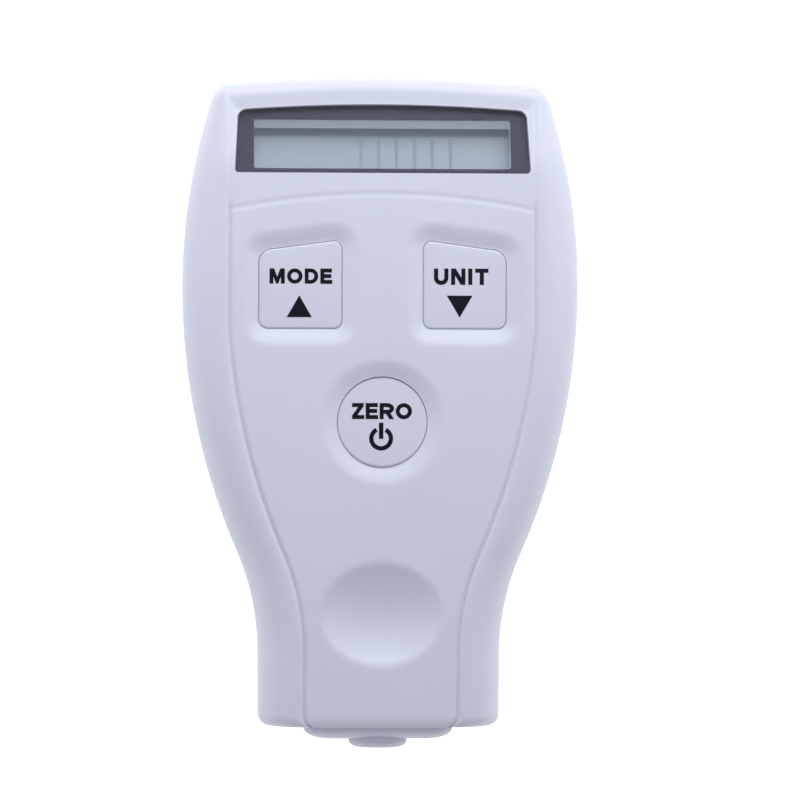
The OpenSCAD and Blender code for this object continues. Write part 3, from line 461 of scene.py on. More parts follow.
HOUSING = finish("housing_plastic", linear(214, 218, 238), 0.42, vary=0.012)
KEYS = finish("key_plastic", linear(212, 216, 236), 0.4, vary=0.012)
# The display well takes a lighter copy of the housing plastic: painted light that brightens the lit band of
# its upper wall
WELL_PAINTED_LIGHT = finish("well_plastic_painted_light", linear(236, 238, 248), 0.5, vary=0.012)
INK = finish("legend_ink", linear(12, 12, 30), 0.5, bump=0.02, shine=0.2)
PRINT = finish("window_print", linear(71, 71, 93), 0.5, bump=0.01, shine=0.1)
LENS = clear_finish("window_plastic", 1.2)
SEGMENTS = finish("display_segments", linear(141, 153, 175), 0.3, bump=0.01)
CAD_FINISHES = {
    "display_glass": finish("display_glass", linear(162, 175, 191), 0.25, bump=0.01, vary=0.02),
    "black_plastic": finish("black_plastic", linear(38, 38, 42), 0.5),
    "zebra_rubber": finish("zebra_rubber", linear(205, 150, 158), 0.7),
    "board": finish("board_lacquer", linear(34, 98, 58), 0.35, vary=0.1),
    "ribbon": finish("ribbon_film", linear(196, 122, 44), 0.35),
    "plunger_plastic": finish("plunger_plastic", linear(196, 186, 164), 0.45),
    "cell_can": finish("cell_can", linear(70, 74, 84), 0.35, metal=0.6),
    "steel": finish("bright_steel", linear(190, 192, 196), 0.28, metal=1),
    "core_iron": finish("core_iron", linear(92, 90, 90), 0.4, metal=1),
    "bobbin_plastic": finish("bobbin_plastic", linear(226, 220, 204), 0.5),
    "copper_wire": finish("copper_wire", linear(184, 108, 60), 0.35, metal=1),
    "lead_cover": finish("lead_cover", linear(176, 46, 40), 0.5),
    "housing": HOUSING,
    "keys": KEYS,
    "lens": LENS,
}
for part in frame["record"]["subparts"]:
    node = frame["nodes"][part["node"]]
    node.data.materials.clear()
    node.data.materials.append(CAD_FINISHES[part["material_slot"]])


# Housing halves: rings along the gauge, drawn in at both rounded ends

SEAM_CHAMFER, SEAM_MARGIN, SEAM_PAST = 0.15, 1, 0.01
LEAST_ROUND, LEAST_STEP = 0.3, 0.1
# Parts of the way from the seam at which the ends and the sides of the two halves have points
CAP_PARTS = [0, 0.02, 0.3, 0.6, 0.85]
FRONT_PARTS, BACK_PARTS = (0, 0.02, 0.35, 0.7), (0, 0.04, 0.5)
# Shares of an end's rounding that the sides take at the display end and the face at the probe end
CORNER_SHARE, LOW_EDGE_SHARE = 0.4, 0.45
# The largest share of the thickness that a long edge's rounding takes
EDGE_SHARE = 0.48
GROOVE_REACH, GROOVE_STEPS = 1.1, 10
# Rings lie closest at the window, and closer at the keys than below them
Y_WINDOW_ZONE, Y_KEY_ZONE = 34, -14


def fine_pitch(y):
    return 0.35 if y > Y_WINDOW_ZONE else 0.5 if y > Y_KEY_ZONE else 0.7


def back_pitch(y):
    return 1.2


def rough_pitch(y):
    return 3


def stations(inset, pitch, end_steps):
    """Places of the rings as distance along y and draw-in; pitch gives the step at y."""
    low_r = max(BOTTOM_ROUND - inset, LEAST_ROUND)
    high_r = max(TOP_ROUND - inset, LEAST_ROUND)
    first = Y_BOT + inset + low_r
    last = Y_TOP - inset - high_r
    turns = [math.pi / 2 * i / end_steps for i in range(end_steps)]
    rings = [(first - low_r * math.cos(a), low_r * (1 - math.sin(a))) for a in turns]
    y = first
    while y < last - LEAST_STEP:
        rings.append((y, 0))
        y += pitch(y)
    rings.append((last, 0))
    return rings + [(last + high_r * math.cos(a), high_r * (1 - math.sin(a))) for a in reversed(turns)]


def side_draw(y, draw):
    """How far an end's rounding draws in the sides."""
    return draw * CORNER_SHARE if y > 0 else draw


def side_points(w, y, edge_z, parts):
    """Points of a side from the chamfer at the seam towards its rounded edge."""
    return [Vector((w - (0 if part else SEAM_CHAMFER), arched(w, y), PART_Z + (edge_z - PART_Z) * part))
            for part in parts]


def front_half_ring(y, inset, draw, detail, flank_steps, panel_steps):
    """Points of a ring of the front half from the seam to the middle of the face."""
    aside = inset + side_draw(y, draw)
    sink = inset + (draw if y > 0 else draw * LOW_EDGE_SHARE)
    w = half_width(y) - aside
    high_r = min(FLANK_H, EDGE_SHARE * (face_height(y) - back_height(y) - 2 * sink))
    flank = flank_at(y)
    panel = min(w - flank, PANEL_W / 2 - aside)
    side_r = flank - GROOVE_W / 2
    points = side_points(w, y, face_height(arched(w, y)) - sink - high_r, FRONT_PARTS)
    for i in range(flank_steps + 1):
        a = math.pi / 2 * i / flank_steps
        x = w - side_r + side_r * math.cos(a)
        spot = arched(x, y)
        points.append(Vector((x, spot, face_height(spot) - sink - high_r * (1 - math.sin(a)))))
    start, inner = w - side_r, panel - GROOVE_REACH
    across = [start + (inner - start) * k / GROOVE_STEPS for k in range(1, GROOVE_STEPS + 1)]
    across += [inner * (1 - k / panel_steps) for k in range(1, panel_steps + 1)]
    for x in across:
        spot = arched(x, y)
        sunk = panel_depth(x, spot, panel) if detail else thumb_hollow(x, spot)
        points.append(Vector((x, spot, face_height(spot) - sink - sunk)))
    if detail:
        for point in points:
            if point.y > Y_LENS - POCKET_REACH and point.z > PART_Z + SEAM_MARGIN:
                point.z = soft_min(point.z, window_floor(point.x, point.y), POCKET_SOFT)
    return points


def rear_half_ring(y, inset, draw, arc_steps, flat_steps):
    """Points of a ring of the rear half from the seam to the middle of the back."""
    w = half_width(y) - inset - side_draw(y, draw)
    lift = inset + draw
    low_r = min(BACK_R, EDGE_SHARE * (face_height(y) - back_height(y) - 2 * lift))
    points = side_points(w, y, back_height(arched(w, y)) + lift + low_r, BACK_PARTS)
    for i in range(arc_steps + 1):
        a = math.pi / 2 * (1 - i / arc_steps)
        x = w - low_r + low_r * math.sin(a)
        spot = arched(x, y)
        points.append(Vector((x, spot, back_height(spot) + lift + low_r * (1 - math.cos(a)))))
    for k in range(1, flat_steps + 1):
        x = (w - low_r) * (1 - k / flat_steps)
        spot = arched(x, y)
        points.append(Vector((x, spot, back_height(spot) + lift)))
    return points


def end_row(ring, part, inward):
    """A row of a flat end, a part of the way from the seam to the ring that it closes."""
    chamfer = 0 if part else inward * SEAM_CHAMFER
    return [Vector((p.x, p.y + chamfer, PART_Z + (p.z - PART_Z) * part)) for p in ring]


def housing_half(half_rings):
    """A closed half of the housing from its half rings, with flat ends that reach the seam."""
    rings = [half + [Vector((-p.x, p.y, p.z)) for p in reversed(half[:-1])] for half in half_rings]
    lows = [end_row(rings[0], part, 1) for part in CAP_PARTS]
    highs = [end_row(rings[-1], part, -1) for part in reversed(CAP_PARTS)]
    rows = lows + rings + highs
    return closed(surface(len(rows), len(rows[0]), lambda row, column: rows[row][column]))


def front_form(inset, pitch, end_steps, detail, flank_steps, panel_steps):
    return housing_half([front_half_ring(y, inset, draw, detail, flank_steps, panel_steps)
                         for y, draw in stations(inset, pitch, end_steps)])


def rear_form(inset, pitch, end_steps, arc_steps, flat_steps):
    return housing_half([rear_half_ring(y, inset, draw, arc_steps, flat_steps)
                         for y, draw in stations(inset, pitch, end_steps)])


# Outlines in place, moved outwards by grow
VIEW_CORNER, ZERO_STEPS = 0.4, 72


def collar_outline(grow):
    return rounded(box_corners(COLLAR_W, COLLAR_H), [COLLAR_R] * 4, grow)


def key_outline(grow):
    return [p + Vector((-KEY_X, Y_KEY)) for p in rounded(KEY_CORNERS, KEY_RADII, grow)]


def zero_outline(grow):
    return [p + Vector((0, Y_ZERO)) for p in circle(ZERO_R + grow, ZERO_STEPS)]


def lens_outline(grow):
    return rounded(LENS_CORNERS, LENS_RADII, grow, 10)


def view_outline(grow):
    corners = box_corners(VIEW_W, VIEW_H)
    return [p + Vector((0, -VIEW_DROP)) for p in rounded(corners, [VIEW_CORNER] * 4, grow, 4)]


def door_outline(grow):
    return [p + Vector((0, DOOR_Y)) for p in rounded(box_corners(DOOR_W, DOOR_L), [DOOR_CORNER] * 4, grow)]


# Front half with its openings
COLLAR_GAP, LENS_GAP = 0.15, 0.15
COLLAR_HOLE_L, KEY_HOLE_LOW, KEY_HOLE_HIGH, LENS_HOLE_HALF = 14, 15, 35, 6
collar_hole = prism(collar_outline(COLLAR_GAP), -PAST, COLLAR_HOLE_L, PROBE)
front_outer = front_form(0, fine_pitch, end_steps=8, detail=True, flank_steps=16, panel_steps=46)
front_inner = front_form(WALL, rough_pitch, end_steps=4, detail=False, flank_steps=8, panel_steps=10)
# The hollow reaches a little past the seam, so that the cut leaves no skin there
bmesh.ops.translate(front_inner, vec=(0, 0, -SEAM_PAST), verts=front_inner.verts)
key_hole = prism(key_outline(SEEN_GAP), KEY_HOLE_LOW, KEY_HOLE_HIGH)
front = carve(front_outer, front_inner, key_hole, mirrored(key_hole),
              prism(zero_outline(SEEN_GAP), KEY_HOLE_LOW, KEY_HOLE_HIGH),
              prism(lens_outline(LENS_GAP), -LENS_HOLE_HALF, LENS_HOLE_HALF, DISPLAY), copied(collar_hole))
piece("front_shell_skin", front, "housing", HOUSING, ["front_shell"])

# Well round the display, with the seat that carries the window
SEAT_RIM, SEAT_T, TUBE_WALL, TUBE_GAP, TUBE_TOP = 1.5, 1.3, 1.1, 0.1, 0.5


def view_cut():
    """The line of sight through the window's border and the well."""
    return prism(view_outline(0), -VIEW_DEPTH - 3 * PAST, 2 * PAST, DISPLAY)


well = join(prism(lens_outline(SEAT_RIM), -LENS_T - SEAT_T, -LENS_T, DISPLAY),
            prism(view_outline(TUBE_WALL), -VIEW_DEPTH + TUBE_GAP, -LENS_T - TUBE_TOP, DISPLAY))
well = carve(well, view_cut())
# Its upper wall slopes in under the window, and the display lies in shade below that slope
SLOPE_DROP, SLOPE_DEPTH, SLOPE_BED, SLOPE_FOOT, SLOPE_SIDE = 0.95, 1.7, 0.5, 0.2, 0.3
ALONG_X = Matrix(((0, 0, 1, 0), (1, 0, 0, 0), (0, 1, 0, 0), (0, 0, 0, 1)))
view_top = VIEW_H / 2 - VIEW_DROP
slope_high, slope_low = -LENS_T - HAIR, -LENS_T - SLOPE_DEPTH
slope = [Vector((view_top + SLOPE_BED, slope_high)), Vector((view_top, slope_high)),
         Vector((view_top - SLOPE_DROP, slope_low)), Vector((view_top + SLOPE_BED, slope_low - SLOPE_FOOT))]
well = join(well, prism(slope, -VIEW_W / 2 - SLOPE_SIDE, VIEW_W / 2 + SLOPE_SIDE, DISPLAY @ ALONG_X))
# The well's lighter finish is painted light on its upper wall
piece("display_well", well, "housing", WELL_PAINTED_LIGHT)

# Rear half with its door rim, battery box, screw posts and cuts
LEDGE_W, LEDGE_LOW, LEDGE_Z, LEDGE_T = 2.5, 1, 1.85, 1.3
HOOK_X, HOOK_W, HOOK_Z, HOOK_T, HOOK_GAP = DOOR_W / 2 - 5, 4.5, WALL + 0.15, 1.1, 0.3
HOOK_R = math.hypot(HOOK_REACH, HOOK_Z)
HOOK_AXIS = Matrix.Translation((HOOK_X, Y_DOOR_LOW, 0)) @ Matrix.Rotation(math.radians(90), 4, "Y")
# Half width and reach of the blocks that trim a hook
TRIM_X, TRIM_REACH = 4, 9
LATCH_W, LATCH_REACH, LATCH_PLAY, LATCH_NOSE_GAP = 9, 0.7, 0.15, 0.4
LATCH_SLOT_L, LATCH_SLOT_LOW, LATCH_SLOT_HIGH, RIM_PLAY = 2, 0.5, 6, 0.1
SCOOP_R, SCOOP_HALF, SCOOP_PAST, SCOOP_Z = 4, 4, 1.5, -3
POST_FOOT_R, POST_TIP_R, POST_LOW, POST_FOOT_TOP = 3.5, 2.7, 1, 9
HEAD_HOLE_R, SHANK_HOLE_R = 2.35, 1.35
# Places of the screws and the heights at which their heads seat, deeper where the back's edge rounds up
HIGH_SEAT, LOW_SEAT = 4.5, 5.9
SCREW_PLACES = [(BODY_W / 2 - 6.3, Y_WIDE + 7.5, HIGH_SEAT), (NECK_W / 2 - 5, Y_BOT + 11.5, LOW_SEAT)]

rear_outer = rear_form(0, back_pitch, end_steps=8, arc_steps=14, flat_steps=10)
rear_inner = rear_form(WALL, rough_pitch, end_steps=4, arc_steps=8, flat_steps=6)
bmesh.ops.translate(rear_inner, vec=(0, 0, SEAM_PAST), verts=rear_inner.verts)
posts = []
holes = []
for x, y, seat in SCREW_PLACES:
    for side in (-1, 1):
        at = Matrix.Translation((side * x, y, 0))
        foot, tip = circle(POST_FOOT_R, 40), circle(POST_TIP_R, 40)
        post = stack([(foot, POST_LOW), (foot, POST_FOOT_TOP), (tip, PART_Z)], at)
        posts.append(carve(post, copied(rear_outer), way="INTERSECT"))
        holes.append(prism(circle(HEAD_HOLE_R, 40), -PAST, seat, at))
        holes.append(prism(circle(SHANK_HOLE_R, 32), HIGH_SEAT - PAST / 2, PART_Z + 2 * PAST, at))
rear = join(carve(rear_outer, rear_inner), prism(door_outline(LEDGE_W), LEDGE_LOW, LEDGE_Z + LEDGE_T),
            block((-BAY_W / 2 - BAY_WALL, Y_BAY_LOW - BAY_WALL, WALL),
                  (BAY_W / 2 + BAY_WALL, Y_BAY + BAY_WALL, BAY_ROOF + BAY_WALL)), *posts)
# A scoop for the fingertip that opens the door
scoop = bmesh.new()
bmesh.ops.create_uvsphere(scoop, u_segments=48, v_segments=24, radius=SCOOP_R)
for vert in scoop.verts:
    if abs(vert.co.x) > MERGE:
        vert.co.x += math.copysign(SCOOP_HALF, vert.co.x)
bmesh.ops.translate(scoop, vec=(0, Y_DOOR_HIGH + SCOOP_PAST, SCOOP_Z), verts=scoop.verts)
hook_half = HOOK_W / 2 + HOOK_GAP
hook_way = carve(prism(circle(HOOK_R + HOOK_T + HOOK_GAP, ROUND_STEPS), -hook_half, hook_half, HOOK_AXIS),
                 block((HOOK_X - TRIM_X, Y_DOOR_LOW - TRIM_REACH, -TRIM_REACH),
                       (HOOK_X + TRIM_X, Y_DOOR_LOW, HOOK_Z - RIM_PLAY)))
latch_half = LATCH_W / 2 + HOOK_GAP
latch_slot = block((-latch_half, Y_DOOR_HIGH - LATCH_SLOT_L, LATCH_SLOT_LOW),
                   (latch_half, Y_DOOR_HIGH + LATCH_PLAY, LATCH_SLOT_HIGH))
latch_way = block((-latch_half, Y_DOOR_HIGH - LATCH_SLOT_L + RIM_PLAY, HOOK_Z - RIM_PLAY),
                  (latch_half, Y_DOOR_HIGH + LATCH_REACH + LATCH_NOSE_GAP, LATCH_SLOT_HIGH - RIM_PLAY))
rear = carve(rear, block((-BAY_W / 2, Y_BAY_LOW, -PAST), (BAY_W / 2, Y_BAY, BAY_ROOF)),
             prism(door_outline(DOOR_GAP), -PAST, LEDGE_Z), mirrored(hook_way), hook_way,
             latch_slot, latch_way, scoop, collar_hole, *holes)
piece("rear_shell_skin", rear, "housing", HOUSING, ["rear_shell"], crease=30)


def like_solid(node):
    """The mesh of a CAD node, in millimetres."""
    solid = frame["nodes"][node]
    bm = bmesh.new()
    bm.from_mesh(solid.data)
    bmesh.ops.remove_doubles(bm, verts=bm.verts, dist=CAD_MERGE)
    bmesh.ops.transform(bm, matrix=Matrix.Scale(1 / MM, 4) @ solid.matrix_world, verts=bm.verts)
    return bm


# Shell screws, the heads of the low pair moved up to their deeper seat
screws = like_solid("shell_screws")
low_heads = [vert for vert in screws.verts if vert.co.y < 0 and vert.co.z < HIGH_SEAT + MERGE]
bmesh.ops.translate(screws, vec=(0, 0, LOW_SEAT - HIGH_SEAT), verts=low_heads)
piece("shell_screw_set", screws, "housing", CAD_FINISHES["steel"], ["shell_screws"], crease=30)

# Battery door with grip lines, hooks and latch
DOOR_BEVEL, FOOT_L, FOOT_SINK, HOOK_FOOT_RISE, LATCH_BACK = 0.3, 1.4, 0.2, 0.4, 0.9
GRIPS, GRIP_HALF, GRIP_W, GRIP_D, GRIP_PITCH, GRIP_FIRST = 5, 7, 1, 0.5, 2.2, 6
door = stack([(door_outline(-DOOR_BEVEL), 0), (door_outline(0), DOOR_BEVEL), (door_outline(0), DOOR_T)])
grips = []
for i in range(GRIPS):
    y = Y_DOOR_HIGH - GRIP_FIRST - GRIP_PITCH * i
    grips.append(block((-GRIP_HALF, y, -GRIP_D), (GRIP_HALF, y + GRIP_W, GRIP_D)))
door = carve(door, *grips)
hook = carve(prism(circle(HOOK_R + HOOK_T, ROUND_STEPS), -HOOK_W / 2, HOOK_W / 2, HOOK_AXIS),
             prism(circle(HOOK_R, ROUND_STEPS), -HOOK_W, HOOK_W, HOOK_AXIS))
hook = carve(hook, block((HOOK_X - TRIM_X, Y_DOOR_LOW - HOOK_REACH, 0),
                         (HOOK_X + TRIM_X, Y_DOOR_LOW + FOOT_L, TRIM_REACH)), way="INTERSECT")
hook = join(hook, block((HOOK_X - HOOK_W / 2, Y_DOOR_LOW + RIM_PLAY, DOOR_T - FOOT_SINK),
                        (HOOK_X + HOOK_W / 2, Y_DOOR_LOW + FOOT_L, HOOK_R + HOOK_FOOT_RISE)))
latch_top = HOOK_Z + HOOK_T
latch = join(block((-LATCH_W / 2, Y_DOOR_HIGH - FOOT_L, DOOR_T - FOOT_SINK),
                   (LATCH_W / 2, Y_DOOR_HIGH - RIM_PLAY, latch_top)),
             block((-LATCH_W / 2, Y_DOOR_HIGH - LATCH_BACK, HOOK_Z),
                   (LATCH_W / 2, Y_DOOR_HIGH + LATCH_REACH, latch_top)))
door = join(door, mirrored(hook), hook, latch)
piece("battery_door_skin", door, "battery_door", HOUSING, ["battery_door"], crease=30)

# Keys: filleted edge and a faintly domed top
KEY_EDGE, KEY_CROWN, EDGE_STEPS = 0.4, 0.18, 6
DOME_PARTS, DOME_SOFT = (0.95, 0.85, 0.7, 0.5, 0.3, 0.1, 0), 0.15
FLANGE_T, FLANGE_W, FLANGE_ROOM, FLANGE_GAP = 1, 1, 0.8, 0.15
STEM_R, STEM_SINK, PLUNGER_TOP = 2, 0.2, 23.8
# Each key's middle, and the distance from it at which the dome has fallen in full
KEY_DOMES = {
    "mode_key": (Vector((-KEY_X, Y_KEY)), 10),
    "unit_key": (Vector((KEY_X, Y_KEY)), 10),
    "zero_key": (Vector((0, Y_ZERO)), 8),
}


def key_top(y):
    return face_height(y) - CAP_SINK


def dome(point, middle, reach):
    """How far the key's top falls below its middle at a point."""
    return KEY_CROWN * min(1, (point - middle).length_squared / reach ** 2)


def key_cap(outline, key):
    """A key's cap with its flange and stem."""
    middle, reach = KEY_DOMES[key]
    top = key_top(middle.y)
    flange_top = face_height(middle.y) - WALL - FLANGE_ROOM - FLANGE_GAP
    layers = [(outline(0), flange_top - FLANGE_T / 2), (outline(0), top - KEY_CROWN - KEY_EDGE)]
    for i in range(1, EDGE_STEPS + 1):
        a = math.pi / 2 * i / EDGE_STEPS
        layers.append((outline(-KEY_EDGE * (1 - math.cos(a))),
                       top - KEY_CROWN - KEY_EDGE * (1 - math.sin(a))))
    rings = [[p.to_3d() + Vector((0, 0, height)) for p in ring] for ring, height in layers]
    edge = outline(-KEY_EDGE)
    for part in DOME_PARTS:
        share = soft_step((1 - part) / DOME_SOFT)
        ring = []
        for p in edge:
            q = middle + (p - middle) * part
            fall = dome(q, middle, reach) * share + KEY_CROWN * (1 - share)
            ring.append(q.to_3d() + Vector((0, 0, top - fall)))
        rings.append(ring)
    count = len(edge)
    cap = closed(surface(len(rings), count + 1, lambda row, column: rings[row][column % count]))
    flange = prism(outline(KEY_GAP + FLANGE_W), flange_top - FLANGE_T, flange_top)
    stem = prism([p + middle for p in circle(STEM_R, 32)], PLUNGER_TOP, flange_top - STEM_SINK)
    return join(cap, flange, stem)


left_key = key_cap(key_outline, "mode_key")
piece("unit_key_cap", mirrored(left_key), "unit_key", KEYS, ["unit_key"])
piece("mode_key_cap", left_key, "mode_key", KEYS, ["mode_key"])
piece("zero_key_cap", key_cap(zero_outline, "zero_key"), "zero_key", KEYS, ["zero_key"])

# Window: a clear sheet with a dark border printed on its underside
SHEET_BEVEL, PRINT_ROOM, PRINT_GAP = 0.12, 0.1, 0.01
sheet = stack([(lens_outline(0), -LENS_T + PRINT_ROOM), (lens_outline(0), -SHEET_BEVEL),
               (lens_outline(-SHEET_BEVEL), 0)], DISPLAY)
piece("window_sheet", sheet, "housing", LENS, ["window_lens"])
border = carve(prism(lens_outline(-HAIR), -LENS_T + PRINT_GAP, -LENS_T + PRINT_ROOM - PRINT_GAP, DISPLAY),
               view_cut())
piece("window_border", border, "housing", PRINT)

# Display segments, left faint as on a display that is off
DIGIT_W, DIGIT_H, DIGIT_PITCH, BAR_W, BAR_T = 3.2, 5.6, 6.35, 0.6, 0.03
DIGITS_X, DIGITS_Y = 4.25, -1.6
ghosts = bmesh.new()
for digit in (-1, 0, 1):
    for across, up in ((-1, 1), (1, 1), (-1, -1), (1, -1)):
        spot = Vector((DIGITS_X + DIGIT_PITCH * digit + across * DIGIT_W / 2, DIGITS_Y + up * DIGIT_H / 4,
                       -VIEW_DEPTH + HAIR))
        size = Vector((BAR_W, DIGIT_H / 2 - BAR_W / 2, BAR_T))
        bmesh.ops.create_cube(ghosts, size=1, matrix=DISPLAY @ Matrix.LocRotScale(spot, None, size))
piece("display_digits", ghosts, "housing", SEGMENTS)

# Legends: generic words and signs printed on the keys, drawn flat from each key's middle
INK_RISE, INK_SINK, FLAT = 0.03, 0.06, 0.1
PEN, MITRE_LEAST = 0.25, 0.4
POWER_BAR_AT, POWER_BAR_L = 0.65, 1.35


def bow(middle, across, up, first, last, steps):
    """Points of an arc of an ellipse between two angles in degrees."""
    turns = [math.radians(first + (last - first) * k / steps) for k in range(steps + 1)]
    return [(middle[0] + across * math.cos(a), middle[1] + up * math.sin(a)) for a in turns]


RING = bow((0.5, 0.5), 0.375, 0.375, 0, 350, 35)
CUP = bow((0.5, 0.42), 0.36, 0.295, 180, 360, 12)
D_BOW = bow((0.45, 0.5), 0.41, 0.375, 90, -90, 16)
R_BOW = bow((0.5, 0.665), 0.35, 0.21, 90, -90, 16)
# Each letter's width against its height, and its pen strokes in a unit box
LETTERS = {
    "D": (0.88, [[(0.14, 0.125), (0.14, 0.875)] + D_BOW + [(0.14, 0.125)]]),
    "E": (0.78, [[(0.97, 0.875), (0.16, 0.875), (0.16, 0.125), (1, 0.125)], [(0.16, 0.51), (0.92, 0.51)]]),
    "I": (0.26, [[(0.5, 0), (0.5, 1)]]),
    "M": (1, [[(0.125, -0.1), (0.125, 1)], [(0.875, -0.1), (0.875, 1)],
              [(0.15, 1.05), (0.5, 0.14), (0.85, 1.05)]]),
    "N": (0.88, [[(0.14, -0.1), (0.14, 1.1)], [(0.86, -0.1), (0.86, 1.1)], [(0.09, 1.1), (0.91, -0.1)]]),
    "O": (1.02, [RING + RING[:1]]),
    "R": (0.92, [[(0.14, -0.1), (0.14, 0.875)] + R_BOW + [(0.14, 0.455)], [(0.52, 0.45), (0.9, -0.1)]]),
    "T": (0.82, [[(0, 0.875), (1, 0.875)], [(0.5, -0.1), (0.5, 0.9)]]),
    "U": (0.88, [[(0.14, 1.1)] + CUP + [(0.86, 1.1)]]),
    "Z": (0.8, [[(0.05, 0.875), (0.95, 0.875)], [(0.05, 0.125), (1, 0.125)], [(0.84, 0.9), (0.14, 0.1)]]),
}


def pen_stroke(points, width):
    """A flat band of even width along a line, mitred where the line turns."""
    loop = points[0] == points[-1]
    offsets = []
    for i, point in enumerate(points):
        before = points[i - 1] if i else points[-2] if loop else None
        after = points[i + 1] if i + 1 < len(points) else points[1] if loop else None
        ways = [(b - a).normalized() for a, b in ((before, point), (point, after)) if a and b]
        along = (ways[0] + ways[-1]).normalized()
        reach = width / 2 / max(MITRE_LEAST, along.dot(ways[0]))
        offsets.append(Vector((-along.y, along.x)) * reach)
    corners = ((1, -FLAT), (-1, -FLAT), (-1, FLAT), (1, FLAT))

    def place(row, column):
        sign, height = corners[column % 4]
        return (points[row] + offsets[row] * sign).to_3d() + Vector((0, 0, height))

    return closed(surface(len(points), 5, place))


def words(text, low, high):
    """Bold letters that fill the box between two corners."""
    cap = high[1] - low[1]
    widths = [LETTERS[letter][0] * cap for letter in text]
    gap = (high[0] - low[0] - sum(widths)) / (len(text) - 1)
    line = bmesh.new()
    left = low[0]
    for letter, width in zip(text, widths):
        strokes = [pen_stroke([Vector((left + x * width, low[1] + y * cap)) for x, y in stroke], PEN * cap)
                   for stroke in LETTERS[letter][1]]
        drawn = join(strokes[0], *strokes[1:])
        box = block((left, low[1], -PAST), (left + width, high[1], PAST))
        drawn = carve(drawn, box, way="INTERSECT")
        mesh = bpy.data.meshes.new("letter")
        drawn.to_mesh(mesh)
        drawn.free()
        line.from_mesh(mesh)
        bpy.data.meshes.remove(mesh)
        left += width + gap
    return line


def triangle(middle, width, height, point_up):
    """A three-sided arrow head."""
    bm = bmesh.new()
    corner = bmesh.ops.create_circle(bm, cap_ends=True, segments=3, radius=1)["verts"]
    sign = 1 if point_up else -1
    places = [(-width / 2, -sign * height / 2), (width / 2, -sign * height / 2), (0, sign * height / 2)]
    for vert, (x, y) in zip(corner, places):
        vert.co = (middle[0] + x, middle[1] + y, -FLAT)
    made = bmesh.ops.extrude_face_region(bm, geom=bm.faces[:])["geom"]
    raised = [part for part in made if isinstance(part, bmesh.types.BMVert)]
    bmesh.ops.translate(bm, vec=(0, 0, 2 * FLAT), verts=raised)
    bmesh.ops.recalc_face_normals(bm, faces=bm.faces)
    return bm


def power_sign(middle, radius, stroke, gap):
    """An open ring with a bar through its gap."""
    bm = bmesh.new()
    inner = radius - stroke
    corners = [bm.verts.new((middle[0] + r, middle[1], z))
               for r, z in ((inner, -FLAT), (radius, -FLAT), (radius, FLAT), (inner, FLAT))]
    face = bm.faces.new(corners)
    start = math.pi / 2 + gap
    bmesh.ops.rotate(bm, cent=(*middle, 0), matrix=Matrix.Rotation(start, 3, "Z"), verts=bm.verts)
    bmesh.ops.spin(bm, geom=[face], cent=(*middle, 0), axis=(0, 0, 1), angle=2 * math.pi - 2 * gap, steps=40)
    bar = Matrix.Diagonal((stroke, radius * POWER_BAR_L, 2 * FLAT, 1))
    bar_at = Matrix.Translation((middle[0], middle[1] + radius * POWER_BAR_AT, 0))
    bmesh.ops.create_cube(bm, size=1, matrix=bar_at @ bar)
    bmesh.ops.recalc_face_normals(bm, faces=bm.faces)
    return bm


def printed(name, bm, key):
    """Lays a flat shape, as a thin film, on the dome of a key."""
    middle, reach = KEY_DOMES[key]
    for vert in bm.verts:
        spot = vert.co.to_2d() + middle
        lift = INK_RISE if vert.co.z > 0 else -INK_SINK
        vert.co = (*spot, key_top(middle.y) - dome(spot, middle, reach) + lift)
    piece(name, bm, key, INK)


printed("mode_word", words("MODE", (-5.4, 0.05), (5.55, 2.7)), "mode_key")
printed("mode_arrow", triangle((-0.2, -3.9), 4.35, 3.8, True), "mode_key")
printed("unit_word", words("UNIT", (-5.4, -0.05), (4.15, 2.8)), "unit_key")
printed("unit_arrow", triangle((-0.9, -3.85), 4.5, 3.8, False), "unit_key")
printed("zero_word", words("ZERO", (-5.4, 0.5), (5.2, 3.3)), "zero_key")
printed("power_sign", power_sign((-0.2, -2.9), 2.1, 0.76, 0.48), "zero_key")

# Probe end: the collar block and the sprung sleeve in its bore
NOSE_L, SLEEVE_FLANGE_T, SLEEVE_FLANGE_R, SLEEVE_R = 14, 1.2, TIP_R + 1.2, TIP_R - 1.1
SLEEVE_FRONT, TIP_ROUND, TIP_SPREAD, CORE_R, CORE_GAP = 1.2, 1.1, 2, 1.5, 0.05
COLLAR_ROUND, COLLAR_SPREAD, COLLAR_FLANGE_W, COLLAR_FLANGE_T = 1.8, 4.5, 1.2, 2
FLANGE_AT = TIP_PROUD + COLLAR_PROUD + WALL + COLLAR_GAP
SPRING_ROOM, CAP_ROOM, BARREL_WALL = 8.8, 2, 1.15
BARREL_END = NOSE_L + SLEEVE_FLANGE_T + SPRING_ROOM + CAP_ROOM
BORE_GAP, NOSE_GAP, BORE_END = 0.25, 0.15, 40
QUARTER_TURN = [math.pi / 2 * i / 8 for i in range(9)]
layers = [(collar_outline(-COLLAR_SPREAD * (1 - math.sin(a))), TIP_PROUD + COLLAR_ROUND * (1 - math.cos(a)))
          for a in QUARTER_TURN]
layers.append((collar_outline(0), FLANGE_AT + COLLAR_FLANGE_T / 4))
collar = join(stack(layers, PROBE),
              prism(collar_outline(COLLAR_FLANGE_W), FLANGE_AT, FLANGE_AT + COLLAR_FLANGE_T, PROBE),
              prism(circle(SLEEVE_FLANGE_R + BARREL_WALL, ROUND_STEPS), FLANGE_AT, BARREL_END, PROBE))
collar = carve(collar, prism(circle(TIP_R + BORE_GAP, ROUND_STEPS), -PAST, BORE_END, PROBE),
               prism(circle(SLEEVE_FLANGE_R + BORE_GAP, ROUND_STEPS), NOSE_L - NOSE_GAP, BORE_END, PROBE))
piece("probe_collar_skin", collar, "housing", HOUSING, ["probe_collar"], crease=30)
bore_r = CORE_R + CORE_GAP
tip = [(bore_r, 0)]
tip += [(TIP_R - TIP_SPREAD + TIP_SPREAD * math.sin(a), TIP_ROUND * (1 - math.cos(a))) for a in QUARTER_TURN]
